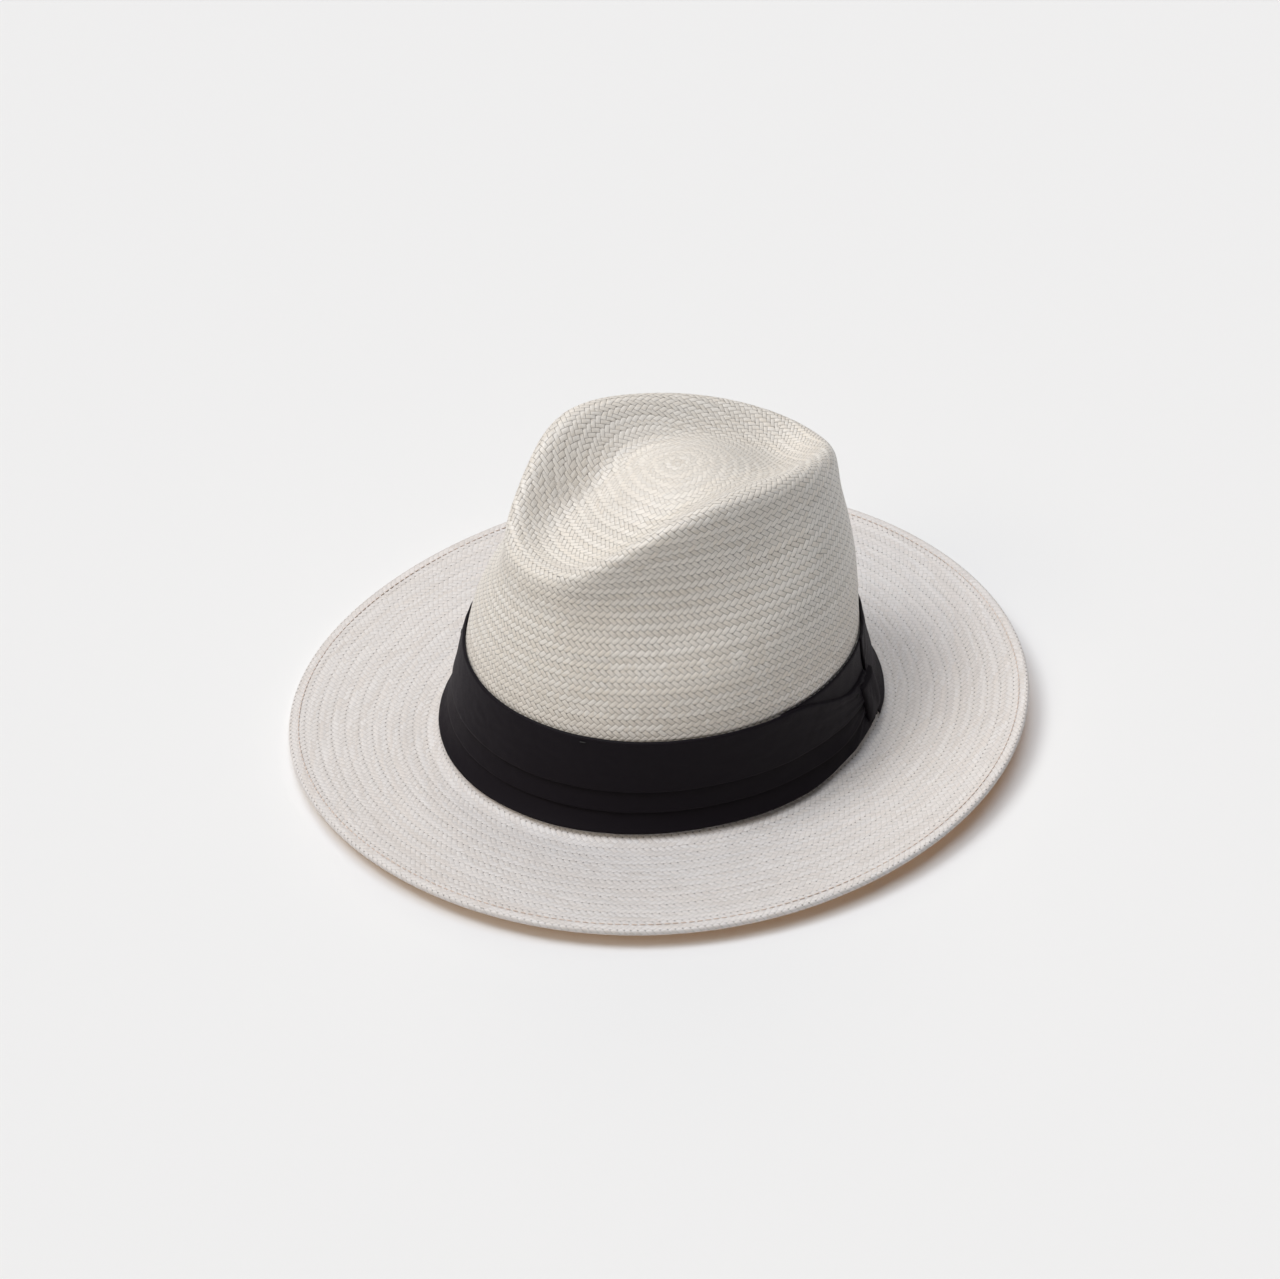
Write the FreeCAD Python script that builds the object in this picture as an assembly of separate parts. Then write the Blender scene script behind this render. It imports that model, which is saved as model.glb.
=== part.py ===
import FreeCAD, Part
import math
import os

os.makedirs("parts", exist_ok=True)
V = FreeCAD.Vector

# ---------------------------------------------------------------------------
# Panama fedora, millimetres.  Front of the hat is -Y, the wearer's left is +X,
# +Z is up.  Origin: centre of the head opening, in the plane the hat rests on.
# ---------------------------------------------------------------------------

# driving dimensions
STRAW_T = 1.0                      # thickness of the woven paper straw
BASE_A, BASE_B = 100.5, 87.5       # straw oval where crown meets brim (half length, half width)
WALL_A, WALL_B, WALL_Z = 89.3, 81.8, 45.0   # straw oval at the top of the hatband
BRIM_A, BRIM_B = 169.0, 156.5      # brim outline (half length, half width)
FLARE = 6.5                        # width of the fold between crown and brim
REST_IN, REST_OUT = 4.0, 8.6       # flat resting ring, measured outward from the base oval

# crown rim (crest) from front (0 deg) to rear (180 deg) in 22.5 deg steps
CREST_G = [56.0, 55.0, 52.5, 50.5, 46.5, 44.5, 42.5, 40.0, 38.0]
CREST_Z = [107.0, 110.5, 123.0, 135.0, 136.5, 131.5, 124.5, 117.5, 114.0]
CREST_FRONT, CREST_REAR = -71.0, 82.0
WALL_P = [1.35, 1.3, 1.3, 1.6, 2.0, 2.3, 2.4, 2.5, 2.6]
FLOOR_Z = [103.0, 105.0, 113.5, 121.5, 124.5, 123.5, 118.5, 112.5, 109.0]
FLOOR_IN = [22.0, 20.0, 19.0, 19.0, 19.0, 18.5, 18.0, 17.5, 17.0]
APEX_Y, APEX_Z = 8.0, 128.0
# side pinches: lower limit and depth at these angles from the front, in degrees
PINCH_T = [0.0, 20.0, 35.0, 44.0, 58.0, 70.0, 82.0, 96.0, 106.0, 114.0, 126.0, 180.0]
PINCH_Z = [84.0, 84.0, 80.0, 78.0, 76.0, 78.0, 85.0, 92.0, 100.0, 109.0, 122.0, 122.0]
PINCH_DEPTH = [0.0, 1.0, 4.5, 6.4, 8.2, 8.8, 8.2, 6.6, 5.0, 3.0, 0.0, 0.0]

# turned brim edge
BEAD_R, BEAD_BORE = 1.45, 0.65     # rolled edge and the channel inside it
HEM_W = 10.0                       # width of the turned-under hem
WIRE_R = 0.32                      # brim wire radius
FERRULE_R, FERRULE_L = 0.50, 14.0  # crimped sleeve that joins the wire ends
HEM_STITCH_IN = 4.2                # stitch line, measured in from the edge
THREAD_R = 0.22

# hatband
BAND_BOTTOM, BAND_TOP = 4.8, 46.5
FOLD_1, FOLD_2 = 23.0, 13.6        # heights of the two visible fold lines
KNOT_T = 40.0                      # angle of the crossover, degrees from +X towards +Y
TAPE_T = 0.5

# sweatband
SWEAT_Z0, SWEAT_Z1, SWEAT_T = 2.7, 34.0, 0.8
CORD_R = 0.85
LABEL_W, LABEL_H, LABEL_T = 30.0, 17.0, 0.35

N = 48                             # control sections around the hat


def series(vals, th):
    """Smooth even periodic curve through values given at equal steps, 0..180 deg."""
    m = len(vals) - 1
    total = 0.0
    for k in range(m + 1):
        a = 0.0
        for j in range(m + 1):
            w = 0.5 if j in (0, m) else 1.0
            a += w * vals[j] * math.cos(math.pi * j * k / m)
        a *= 2.0 / m
        if k in (0, m):
            a *= 0.5
        total += a * math.cos(k * math.radians(th))
    return total


def front_angle(t):
    return abs(((t + 90.0 + 180.0) % 360.0) - 180.0)


def table(x, xs, ys):
    """Piecewise straight interpolation."""
    for k in range(1, len(xs)):
        if x <= xs[k]:
            return ys[k - 1] + (ys[k] - ys[k - 1]) * (x - xs[k - 1]) / (xs[k] - xs[k - 1])
    return ys[-1]


def bump(t, centre, width):
    return math.exp(-((((t - centre + 180.0) % 360.0) - 180.0) / width) ** 2)


def brim_edge(t):
    r = math.radians(t)
    k = 1 + .004 * math.cos(3 * r) - .005 * math.cos(4 * r)
    x = BRIM_B * math.cos(r) * k
    y = BRIM_A * math.sin(r) * k - 0.9
    z = 10.1 + 2.2 * math.cos(r) + 3.5 * math.sin(r) - 1.2 * math.cos(2 * r) \
        - .6 * math.sin(2 * r) - .6 * math.cos(3 * r) + 1.2 * math.sin(3 * r)
    return V(x, y, z)


def oval_normal(t):
    r = math.radians(t)
    n = V(math.cos(r) / BASE_B, math.sin(r) / BASE_A, 0)
    return n.normalize()


def stations(t):
    """Control points of the outer straw surface at angle t, apex first, brim edge last."""
    r = math.radians(t)
    c, s = math.cos(r), math.sin(r)
    th = front_angle(t)
    g, cz, pw = series(CREST_G, th), series(CREST_Z, th), series(WALL_P, th)
    yc, ya = (CREST_FRONT + CREST_REAR) / 2, (CREST_REAR - CREST_FRONT) / 2
    cx, cy = g * c, yc + ya * s
    bx, by = BASE_B * c, BASE_A * s
    wx, wy = WALL_B * c, WALL_A * s
    fz, fi = series(FLOOR_Z, th), series(FLOOR_IN, th)
    rr = math.hypot(cx, cy - yc)
    ux, uy = cx / rr, (cy - yc) / rr
    # hand shaping: the wearer's right side of the dent is pressed in further
    inward = 4.0 * bump(t, 224.0, 26.0)
    cx, cy = cx - ux * inward, cy - uy * inward
    fi += 4.5 * bump(t, 222.0, 34.0) + 3.0 * bump(t, 150.0, 50.0)
    cz += 1.8 * bump(t, 203.0, 20.0) - 1.5 * bump(t, 140.0, 35.0)
    fx, fy = cx - ux * fi, cy - uy * fi
    out = []
    for k, drop in ((0.0, 0.0), (0.3, 0.0), (0.62, 0.42), (0.9, 0.86)):
        out.append(V(fx * k, APEX_Y + (fy - APEX_Y) * k, APEX_Z + (fz - APEX_Z) * drop))
    out.append(V(cx - ux * fi * 0.60, cy - uy * fi * 0.60, fz + (cz - fz) * 0.62))
    out.append(V(cx - ux * fi * 0.26, cy - uy * fi * 0.26, cz + 0.9))
    out.append(V(cx + ux * 1.0, cy + uy * 1.0, cz + 1.9))
    lean = math.hypot(wx - cx, wy - cy) * pw / (cz - WALL_Z)
    side = 2.5 + 4.7 * lean
    out.append(V(cx + ux * side, cy + uy * side, cz - 3.5))
    n = oval_normal(t)
    for h in (0.88, 0.78, 0.665, 0.54, 0.41, 0.29, 0.17, 0.085):
        z = cz * h
        hh = min(max((z - WALL_Z) / (cz - WALL_Z), 0.0), 1.0)
        f = hh ** pw
        lo = min(max(z / WALL_Z, 0.0), 1.0) ** 0.85
        x = bx + (wx - bx) * lo + (cx - wx) * f
        y = by + (wy - by) * lo + (cy - wy) * f
        u = min(max((z - table(th, PINCH_T, PINCH_Z) + 8.0) / 22.0, 0.0), 1.0)
        d = table(th, PINCH_T, PINCH_DEPTH) * u * u * (3 - 2 * u) * (0.72 if h == 0.88 else 1.0)
        if h < 0.12:
            d -= 0.8
        out.append(V(x - n.x * d, y - n.y * d, z))
    out.append(V(bx + n.x * 2.0, by + n.y * 2.0, 3.4))
    out.append(V(bx + n.x * FLARE, by + n.y * FLARE, 0.25))
    e = brim_edge(t)
    p0 = V(bx + n.x * FLARE, by + n.y * FLARE, 0)
    for k in (0.2, 0.4, 0.6, 0.8, 0.93):
        p = p0 + (V(e.x, e.y, 0) - p0) * k
        out.append(V(p.x, p.y, 1.35 + (e.z - 1.35) * k ** 1.25))
    return out


def edge_frame(t):
    """Edge point, direction pointing out of the brim along its top, and its upward normal."""
    e = brim_edge(t)
    d = 0.5
    tan = (brim_edge(t + d) - brim_edge(t - d)).normalize()
    st = stations(t)
    inward = st[-2]
    out = (e - inward)
    out = out - tan * out.dot(tan)
    out.normalize()
    up = tan.cross(out) * -1.0
    if up.z < 0:
        up = up * -1.0
    return e, out, up.normalize(), tan


# --- B-spline helpers -------------------------------------------------------
def knots(count, degree, periodic):
    if periodic:
        return [float(i) for i in range(count + 1)], [1] * (count + 1)
    spans = count - degree
    return [float(i) for i in range(spans + 1)], [degree + 1] + [1] * (spans - 1) + [degree + 1]


def surface(poles, pu, pv, du=3, dv=3):
    """Face from a pole grid poles[u][v]; pu and pv say which directions close on themselves."""
    ku, mu = knots(len(poles), du, pu)
    kv, mv = knots(len(poles[0]), dv, pv)
    s = Part.BSplineSurface()
    s.buildFromPolesMultsKnots(poles, mu, mv, ku, kv, pu, pv, du, dv)
    return s


def closed_curve(poles):
    k, m = knots(len(poles), 3, True)
    c = Part.BSplineCurve()
    c.buildFromPolesMultsKnots(poles, m, k, True, 3)
    return c


def solid_of(faces, tol=0.001):
    shell = Part.makeShell(faces)
    if len(faces) > 1:
        shell.sewShape(tol)
    if shell.ShapeType != "Shell":
        shell = shell.Shells[0]
    solid = Part.makeSolid(shell)
    if solid.Volume < 0:
        solid.reverse()
    if not solid.isValid():
        solid.fix(tol, tol, tol)
    return solid


def strip(outer, inner, closed):
    """Solid between two pole grids [along][across], with ruled sides."""
    faces = [surface(outer, closed, False), surface(inner, closed, False)]
    for k in (0, -1):
        faces.append(surface([[o[k], i[k]] for o, i in zip(outer, inner)], closed, False, 3, 1))
    if not closed:
        for k in (0, -1):
            faces.append(surface([[o, i] for o, i in zip(outer[k], inner[k])], False, False, 3, 1))
    return solid_of([f.toShape() for f in faces])


def circle_poles(c, a, b, r, count=8):
    """Poles of a closed cubic that runs at radius r about c in the plane of a and b."""
    k = r * 6.0 / (4.0 + 2.0 * math.cos(2 * math.pi / count))
    return [c + a * (k * math.cos(2 * math.pi * i / count)) + b * (k * math.sin(2 * math.pi * i / count))
            for i in range(count)]


def facet_poles(c, a, b, r, count):
    """Corners of a regular polygon at radius r about c in the plane of a and b."""
    return [c + a * (r * math.cos(2 * math.pi * i / count)) + b * (r * math.sin(2 * math.pi * i / count))
            for i in range(count)]


def through(points):
    """Control centres of an open uniform cubic that passes through these evenly spaced points."""
    out = list(points)
    for i in range(1, len(points) - 1):
        out[i] = points[i] - (points[i - 1] - points[i] * 2 + points[i + 1]) * (1 / 6.0)
    return out


def ring_pipe(centres, r, facets=0):
    """Closed cord through the given control centres, round, or with flat facets for a fine thread."""
    m = len(centres)
    poles = []
    for i in range(m):
        tan = (centres[(i + 1) % m] - centres[i - 1]).normalize()
        a = V(tan.y, -tan.x, 0).normalize()
        b = tan.cross(a).normalize()
        poles.append(facet_poles(centres[i], a, b, r, facets) if facets else circle_poles(centres[i], a, b, r))
    if facets:
        return solid_of([surface([[p[k], p[(k + 1) % facets]] for p in poles], True, False, 3, 1).toShape()
                         for k in range(facets)])
    return solid_of([surface(poles, True, True).toShape()])


def open_pipe(centres, r, bore=0.0, facets=0):
    """Cord or tube with flat ends through the given control centres, round or with flat facets."""
    m = len(centres)
    frames = []
    for i in range(m):
        p, q = centres[max(i - 1, 0)], centres[min(i + 1, m - 1)]
        tan = (q - p).normalize()
        a = V(tan.y, -tan.x, 0).normalize()
        frames.append((centres[i], a, tan.cross(a).normalize()))
    faces, rims = [], []
    for radius in ([r, bore] if bore else [r]):
        if facets:
            poles = [facet_poles(c, a, b, radius, facets) for c, a, b in frames]
            faces += [surface([[p[k], p[(k + 1) % facets]] for p in poles], False, False, 3, 1).toShape()
                      for k in range(facets)]
            rims.append([Part.makePolygon(p + [p[0]]) for p in (poles[0], poles[-1])])
        else:
            poles = [circle_poles(c, a, b, radius) for c, a, b in frames]
            faces.append(surface(poles, False, True).toShape())
            rims.append([closed_curve(poles[0]).toShape(), closed_curve(poles[-1]).toShape()])
    for k in (0, 1):
        wires = [rim[k] if facets else Part.Wire([rim[k]]) for rim in rims]
        face = Part.Face(wires[0]) if len(wires) == 1 else Part.Face(wires[0]).cut(Part.Face(wires[1])).Faces[0]
        faces.append(face)
    return solid_of(faces)


# --- the straw surface, evaluated for the parts that sit on it ---------------
ANGLES = [360.0 * i / N for i in range(N)]
OUTER = [stations(t) for t in ANGLES]            # [angle][station]


def normals(grid):
    res = []
    n, k = len(grid), len(grid[0])
    for i in range(n):
        row = []
        for j in range(k):
            a = grid[(i + 1) % n][j] - grid[i - 1][j]
            b = grid[i][min(j + 1, k - 1)] - grid[i][max(j - 1, 0)]
            v = a.cross(b)
            row.append(v.normalize() if v.Length > 1e-9 else V(0, 0, 1))
        res.append(row)
    return res


NORM = normals(OUTER)
if NORM[0][9].x < 0:
    NORM = [[v * -1.0 for v in row] for row in NORM]
for row in NORM:
    row[0] = V(0, 0, 1)
INNER = [[p - v * STRAW_T for p, v in zip(r1, r2)] for r1, r2 in zip(OUTER, NORM)]
FOLD = 16                                        # last wall station before the fold
INSIDE = []                                      # inner face of the crown, rest plane first
for i, t in enumerate(ANGLES):
    n = oval_normal(t)
    b = V(BASE_B * math.cos(math.radians(t)), BASE_A * math.sin(math.radians(t)), 0)
    INSIDE.append([b + n * REST_IN, b + n * (REST_IN - 1.35) + V(0, 0, 0.5)]
                  + [INNER[i][j] for j in range(FOLD, -1, -1)])


def ring_at(grid, t):
    """Station list at any angle, from the closed uniform cubic through the sections."""
    u = (t / 360.0 * N) % N
    i = int(math.floor(u))
    f = u - i
    b = [(1 - f) ** 3 / 6, (3 * f ** 3 - 6 * f ** 2 + 4) / 6,
         (-3 * f ** 3 + 3 * f ** 2 + 3 * f + 1) / 6, f ** 3 / 6]
    out = []
    for j in range(len(grid[0])):
        p = V(0, 0, 0)
        for k in range(4):
            p = p + grid[(i + k - 1) % N][j] * b[k]
        out.append(p)
    return out


def along(points, v):
    """Uniform cubic value at parameter v (0..len-1), away from the ends."""
    i = int(math.floor(v))
    f = v - i
    b = [(1 - f) ** 3 / 6, (3 * f ** 3 - 6 * f ** 2 + 4) / 6,
         (-3 * f ** 3 + 3 * f ** 2 + 3 * f + 1) / 6, f ** 3 / 6]
    p = V(0, 0, 0)
    for k in range(4):
        p = p + points[min(max(i + k - 1, 0), len(points) - 1)] * b[k]
    return p


def on_end(points, v):
    """Value of the cubic with clamped ends at parameter v, counted from the first point."""
    spans = len(points) - 3
    kn = [0.0] * 3 + [float(i) for i in range(spans + 1)] + [float(spans)] * 3
    i = min(int(math.floor(v)), spans - 1)
    d = [points[i + k] for k in range(4)]
    for r in (1, 2, 3):
        for k in range(3, r - 1, -1):
            a, b = kn[i + k], kn[i + k + 4 - r]
            w = (v - a) / (b - a)
            d[k] = d[k - 1] * (1 - w) + d[k] * w
    return d[3]


def wall(grid, t, z):
    """Point of the crown wall at angle t and height z, and the outward horizontal normal."""
    pts = ring_at(grid, t)
    if grid is OUTER:
        at, lo, hi = along, 8.0, 16.9         # z falls as the station number rises
    else:
        at, lo, hi = on_end, 11.0, 0.0        # z rises from the rest plane
    for _ in range(40):
        mid = (lo + hi) / 2
        if at(pts, mid).z > z:
            lo = mid
        else:
            hi = mid
    p = at(pts, (lo + hi) / 2)
    return p, oval_normal(t)


def wall_points(grid, angles, heights, offset):
    """Pole grid on the wall, pushed out by offset(t, z)."""
    res = []
    for t in angles:
        row = []
        for z in heights:
            p, n = wall(grid, t, z)
            row.append(V(p.x, p.y, z) + n * offset(t, z))
        res.append(row)
    return res


PARTS = {}

# --- woven_body: crown and brim, one continuous woven sheet -------------------
top, under = [], []
rest_out, rest_in = [], []
for i, t in enumerate(ANGLES):
    e, o, u, _ = edge_frame(t)
    q = lambda a, b: e + o * a + u * b
    r = BEAD_R
    top.append(OUTER[i] + [q(-5.0, 0.0), q(-2.6, 0.05), q(-1.1, 0.02), q(-0.1, -0.35), q(0.12, -r),
                           q(-0.1, -2 * r + 0.35), q(-1.1, -2 * r - 0.02), q(-2.6, -2 * r + 0.1),
                           q(-4.6, -2.35), q(-7.0, -2.15), q(-HEM_W, -2.12)])
    c = r
    m = BEAD_BORE
    row = [q(-HEM_W, -1.12), q(-7.0, -1.14), q(-5.0, -1.3), q(-3.3, -1.75), q(-2.3, -c - m * 1.02),
           q(-1.45, -c - m * 1.2), q(-0.78, -c - m * 0.75), q(-0.62, -c), q(-0.78, -c + m * 0.75),
           q(-1.5, -0.93), q(-2.6, -0.96), q(-5.0, -1.0), q(-8.0, -1.0)]
    row += [INNER[i][k] for k in range(FOLD + 5, FOLD + 1, -1)]
    n = oval_normal(t)
    b = V(BASE_B * math.cos(math.radians(t)), BASE_A * math.sin(math.radians(t)), 0)
    row.append(b + n * (REST_OUT + 4.0) + V(0, 0, 0.1))
    row.append(b + n * REST_OUT)
    under.append(row)
    rest_out.append(row[-1])
    rest_in.append(b + n * REST_IN)

cap = [[a[-1], b[0]] for a, b in zip(top, under)]
face_flat = Part.Face(Part.Wire([closed_curve(rest_out).toShape()])).cut(
    Part.Face(Part.Wire([closed_curve(rest_in).toShape()]))).Faces[0]
body = solid_of([surface(top, True, False).toShape(),
                 surface(cap, True, False, 3, 1).toShape(),
                 surface(under, True, False).toShape(),
                 face_flat,
                 surface(INSIDE, True, False).toShape()])
PARTS["woven_body"] = body

# --- brim wire, its joining sleeve and the hem thread -------------------------
def edge_poles(a, b):
    res = []
    for t in ANGLES:
        e, o, u, _ = edge_frame(t)
        res.append(e + o * a + u * b)
    return res


def edge_path(angles, a, b):
    grid = [[p] for p in edge_poles(a, b)]
    return [ring_at(grid, t)[0] for t in angles]


rear = 90.0
gap = 0.12
wire_angles = [rear + gap + (360.0 - 2 * gap) * i / 120 for i in range(121)]
PARTS["brim_wire"] = open_pipe(through(edge_path(wire_angles, -1.42, -1.45)), WIRE_R, 0.0, 10)
half = math.degrees(FERRULE_L / 2 / BRIM_A)
PARTS["brim_wire_sleeve"] = open_pipe(
    edge_path([rear - half + 2 * half * i / 10 for i in range(11)], -1.42, -1.45), FERRULE_R, WIRE_R + 0.08)
PARTS["brim_hem_thread"] = Part.makeCompound([
    ring_pipe(edge_poles(-HEM_STITCH_IN, THREAD_R + 0.12), THREAD_R, 8),
    ring_pipe(edge_poles(-HEM_STITCH_IN - 0.6, -2.62 - THREAD_R), THREAD_R, 8)])

# --- hatband ------------------------------------------------------------------
def layer(inner_d, outer_d, z_low, z_high, angles, closed, rows=8):
    """Strip of cloth lying on the crown: offsets are functions of (t, z)."""
    outer, inner = [], []
    for t in angles:
        zl, zh = z_low(t), z_high(t)
        zs = [zl + (zh - zl) * k / (rows - 1) for k in range(rows)]
        outer += wall_points(OUTER, [t], zs, lambda a, z: outer_d(a, (z - zl) / (zh - zl)))
        inner += wall_points(OUTER, [t], zs, lambda a, z: inner_d(a, (z - zl) / (zh - zl)))
    return strip(outer, inner, closed)


def ease(x, a, b):
    u = min(max((x - a) / (b - a), 0.0), 1.0)
    return u * u * (3 - 2 * u)


PARTS["band_backing_tape"] = layer(
    lambda t, k: 0.15, lambda t, k: 0.15 + TAPE_T,
    lambda t: BAND_BOTTOM + 2.4, lambda t: BAND_TOP - 2.5, [2.5 * i for i in range(144)], True, 16)

# The cloth starts under the crossover, goes once round the crown and laps over itself.
T0, T1 = KNOT_T + 4.6, 360.0 + KNOT_T + 3.4
steps = 132
run = [T0 + (T1 - T0) * i / steps for i in range(steps + 1)]
lap = lambda t: 0.9 * ease(t, 338.0, 360.0)              # rides over the starting end
taper = lambda t: ease(t, 364.0, 360.0 + KNOT_T - 4.0)    # gathers towards the crossover


def top_edge(t):
    return BAND_TOP - 15.5 * taper(t)


def bottom_edge(t):
    return BAND_BOTTOM + 3.0 * taper(t)


def line_1(t):
    return FOLD_1 - 2.0 * taper(t)


def line_2(t):
    return FOLD_2 + 1.2 * taper(t)


PARTS["band_fold_top"] = layer(
    lambda t, k: 0.8 + lap(t) + 1.2 * (1 - k), lambda t, k: 1.75 + lap(t) + 1.3 * (1 - k),
    line_1, top_edge, run, False, 10)
PARTS["band_fold_middle"] = layer(
    lambda t, k: 0.8 + lap(t) + 1.15 * (1 - k), lambda t, k: 1.45 + lap(t) + 1.35 * (1 - k),
    line_2, lambda t: line_1(t) + 3.0 - 1.2 * taper(t), run, False)
PARTS["band_fold_bottom"] = layer(
    lambda t, k: 0.8 + lap(t) + 1.2 * (1 - k), lambda t, k: 1.4 + lap(t) + 1.55 * (1 - k),
    bottom_edge, lambda t: line_2(t) + 2.6 - 1.2 * taper(t), run, False)

# starting end of the cloth: plain flat tongue under the lap, seen above the tapering folds
under_run = [2.0 + (KNOT_T + 3.6 - 2.0) * i / 16 for i in range(17)]
PARTS["band_underlap"] = layer(
    lambda t, k: 0.78, lambda t, k: 1.38, lambda t: BAND_BOTTOM + 3.5, lambda t: BAND_TOP, under_run, False, 16)

# crossover: short loop of cloth folded over the lap, fuller than the folds
k0, k1 = KNOT_T - 3.4, KNOT_T + 7.6
loop_run = [k0 + (k1 - k0) * i / 10 for i in range(11)]


def loop_out(t, k):
    w = math.sin(math.pi * (t - k0) / (k1 - k0)) ** 0.5 if k0 < t < k1 else 0.0
    h = math.sin(math.pi * min(max(k, 0.0), 1.0)) ** 0.5
    return 4.25 + 2.1 * w * h


PARTS["band_crossover_loop"] = layer(
    lambda t, k: 4.05, loop_out, lambda t: BAND_BOTTOM + 5.2, lambda t: BAND_BOTTOM + 24.0, loop_run, False, 6)

# hidden tacks that hold the cloth to the crown, at the crossover and round the lower edge
tacks = []
for t, z, d in ((KNOT_T - 6.0, 27.4, 3.25), (KNOT_T - 6.0, 18.6, 3.15),
                (100.0, 44.5, 1.98), (170.0, 44.5, 1.98), (235.0, 44.5, 1.98), (305.0, 44.5, 1.98)):
    p, n = wall(OUTER, t, z)
    c = V(p.x, p.y, z) + n * (d + 0.25)
    tan = V(-n.y, n.x, 0)
    cyl = Part.makeCylinder(0.2, 2.4, c - tan * 1.2, tan)
    tacks.append(cyl)
PARTS["band_tack_stitches"] = Part.makeCompound(tacks)

# --- sweatband and what is sewn to it -----------------------------------------
seam = 0.35                                     # half gap of the rear seam, degrees
sweat_run = [90.0 + seam + (360.0 - 2 * seam) * i / 120 for i in range(121)]


def inner_layer(near, far, z_low, z_high, angles, rows=14):
    outer, inner = [], []
    zs = [z_low + (z_high - z_low) * k / (rows - 1) for k in range(rows)]
    outer = wall_points(INSIDE, angles, zs, lambda a, z: -near)
    inner = wall_points(INSIDE, angles, zs, lambda a, z: -far)
    return strip(outer, inner, False)


PARTS["sweatband"] = inner_layer(0.35, 0.35 + SWEAT_T, SWEAT_Z0, SWEAT_Z1, sweat_run, 20)
cord = []
for t in ANGLES:
    p, n = wall(INSIDE, t, SWEAT_Z0 - 1.2)
    cord.append(V(p.x, p.y, SWEAT_Z0 - 0.12 - CORD_R) - n * (CORD_R * 1.45 + 0.12))
PARTS["sweatband_cord"] = ring_pipe(cord, CORD_R)


def sweat_ring(z, r):
    res = []
    for t in [5.0 * i for i in range(72)]:
        p, n = wall(INSIDE, t, z)
        res.append(V(p.x, p.y, z) - n * (0.35 + SWEAT_T + 0.05 + r))
    return ring_pipe(res, r, 8)


PARTS["sweatband_thread"] = Part.makeCompound([sweat_ring(SWEAT_Z0 + 1.8, 0.2), sweat_ring(SWEAT_Z1 - 1.8, 0.2)])
tab = math.degrees(6.0 / 98.0)
tab_run = [90.0 - tab + 2 * tab * i / 6 for i in range(7)]
PARTS["sweatband_join_tab"] = inner_layer(0.35 + SWEAT_T + 0.1, 0.35 + SWEAT_T + 0.6, SWEAT_Z0 + 3.0, SWEAT_Z1 - 3.0, tab_run)
lab = math.degrees(LABEL_W / 2 / 95.0)
lab_c = 122.0
lab_run = [lab_c - lab + 2 * lab * i / 8 for i in range(9)]
PARTS["size_label"] = inner_layer(0.35 + SWEAT_T + 0.1, 0.35 + SWEAT_T + 0.1 + LABEL_T,
                                  9.0, 9.0 + LABEL_H, lab_run)

for name, shape in PARTS.items():
    shape.exportStep("parts/%s.step" % name)
    print(name, "valid", shape.isValid(), "volume", round(shape.Volume, 1),
          "solids", len(shape.Solids), "faces", len(shape.Faces),
          "box", [round(v, 1) for v in (shape.BoundBox.XMin, shape.BoundBox.YMin, shape.BoundBox.ZMin,
                                        shape.BoundBox.XMax, shape.BoundBox.YMax, shape.BoundBox.ZMax)])
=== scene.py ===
import math

import bpy
import numpy as np
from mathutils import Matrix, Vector


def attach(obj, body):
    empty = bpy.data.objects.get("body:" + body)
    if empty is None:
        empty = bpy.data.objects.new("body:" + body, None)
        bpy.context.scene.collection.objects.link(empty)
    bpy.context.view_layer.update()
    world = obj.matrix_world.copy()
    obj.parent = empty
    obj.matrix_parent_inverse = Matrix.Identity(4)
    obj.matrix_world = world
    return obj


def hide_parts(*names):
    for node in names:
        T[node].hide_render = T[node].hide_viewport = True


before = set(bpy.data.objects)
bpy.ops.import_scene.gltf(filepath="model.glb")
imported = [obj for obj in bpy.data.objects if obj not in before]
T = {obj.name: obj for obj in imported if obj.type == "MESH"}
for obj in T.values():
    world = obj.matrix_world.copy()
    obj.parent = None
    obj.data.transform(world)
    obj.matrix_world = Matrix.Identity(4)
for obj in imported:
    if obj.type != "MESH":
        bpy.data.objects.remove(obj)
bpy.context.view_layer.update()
MM = 0.001

# ---------------------------------------------------------------------------
# The hat's sheet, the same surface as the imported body: millimetres, front -Y, wearer's left +X.
# ---------------------------------------------------------------------------
STRAW_T = 1.0
BASE_A, BASE_B = 100.5, 87.5
WALL_A, WALL_B, WALL_Z = 89.3, 81.8, 45.0
BRIM_A, BRIM_B = 169.0, 156.5
FLARE = 6.5
REST_IN, REST_OUT = 4.0, 8.6
CREST_G = [56.0, 55.0, 52.5, 50.5, 46.5, 44.5, 42.5, 40.0, 38.0]
CREST_Z = [107.0, 110.5, 123.0, 135.0, 136.5, 131.5, 124.5, 117.5, 114.0]
CREST_FRONT, CREST_REAR = -71.0, 82.0
WALL_P = [1.35, 1.3, 1.3, 1.6, 2.0, 2.3, 2.4, 2.5, 2.6]
FLOOR_Z = [103.0, 105.0, 113.5, 121.5, 124.5, 123.5, 118.5, 112.5, 109.0]
FLOOR_IN = [22.0, 20.0, 19.0, 19.0, 19.0, 18.5, 18.0, 17.5, 17.0]
APEX_Y, APEX_Z = 8.0, 128.0
PINCH_T = [0.0, 20.0, 35.0, 44.0, 58.0, 70.0, 82.0, 96.0, 106.0, 114.0, 126.0, 180.0]
PINCH_Z = [84.0, 84.0, 80.0, 78.0, 76.0, 78.0, 85.0, 92.0, 100.0, 109.0, 122.0, 122.0]
PINCH_DEPTH = [0.0, 1.0, 4.5, 6.4, 8.2, 8.8, 8.2, 6.6, 5.0, 3.0, 0.0, 0.0]
BEAD_R = 1.45
HEM_W = 10.0
HEM_STITCH_IN = 4.2
BAND_BOTTOM, BAND_TOP = 4.8, 46.5
FOLD_1, FOLD_2 = 23.0, 13.6
KNOT_T = 40.0
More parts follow.
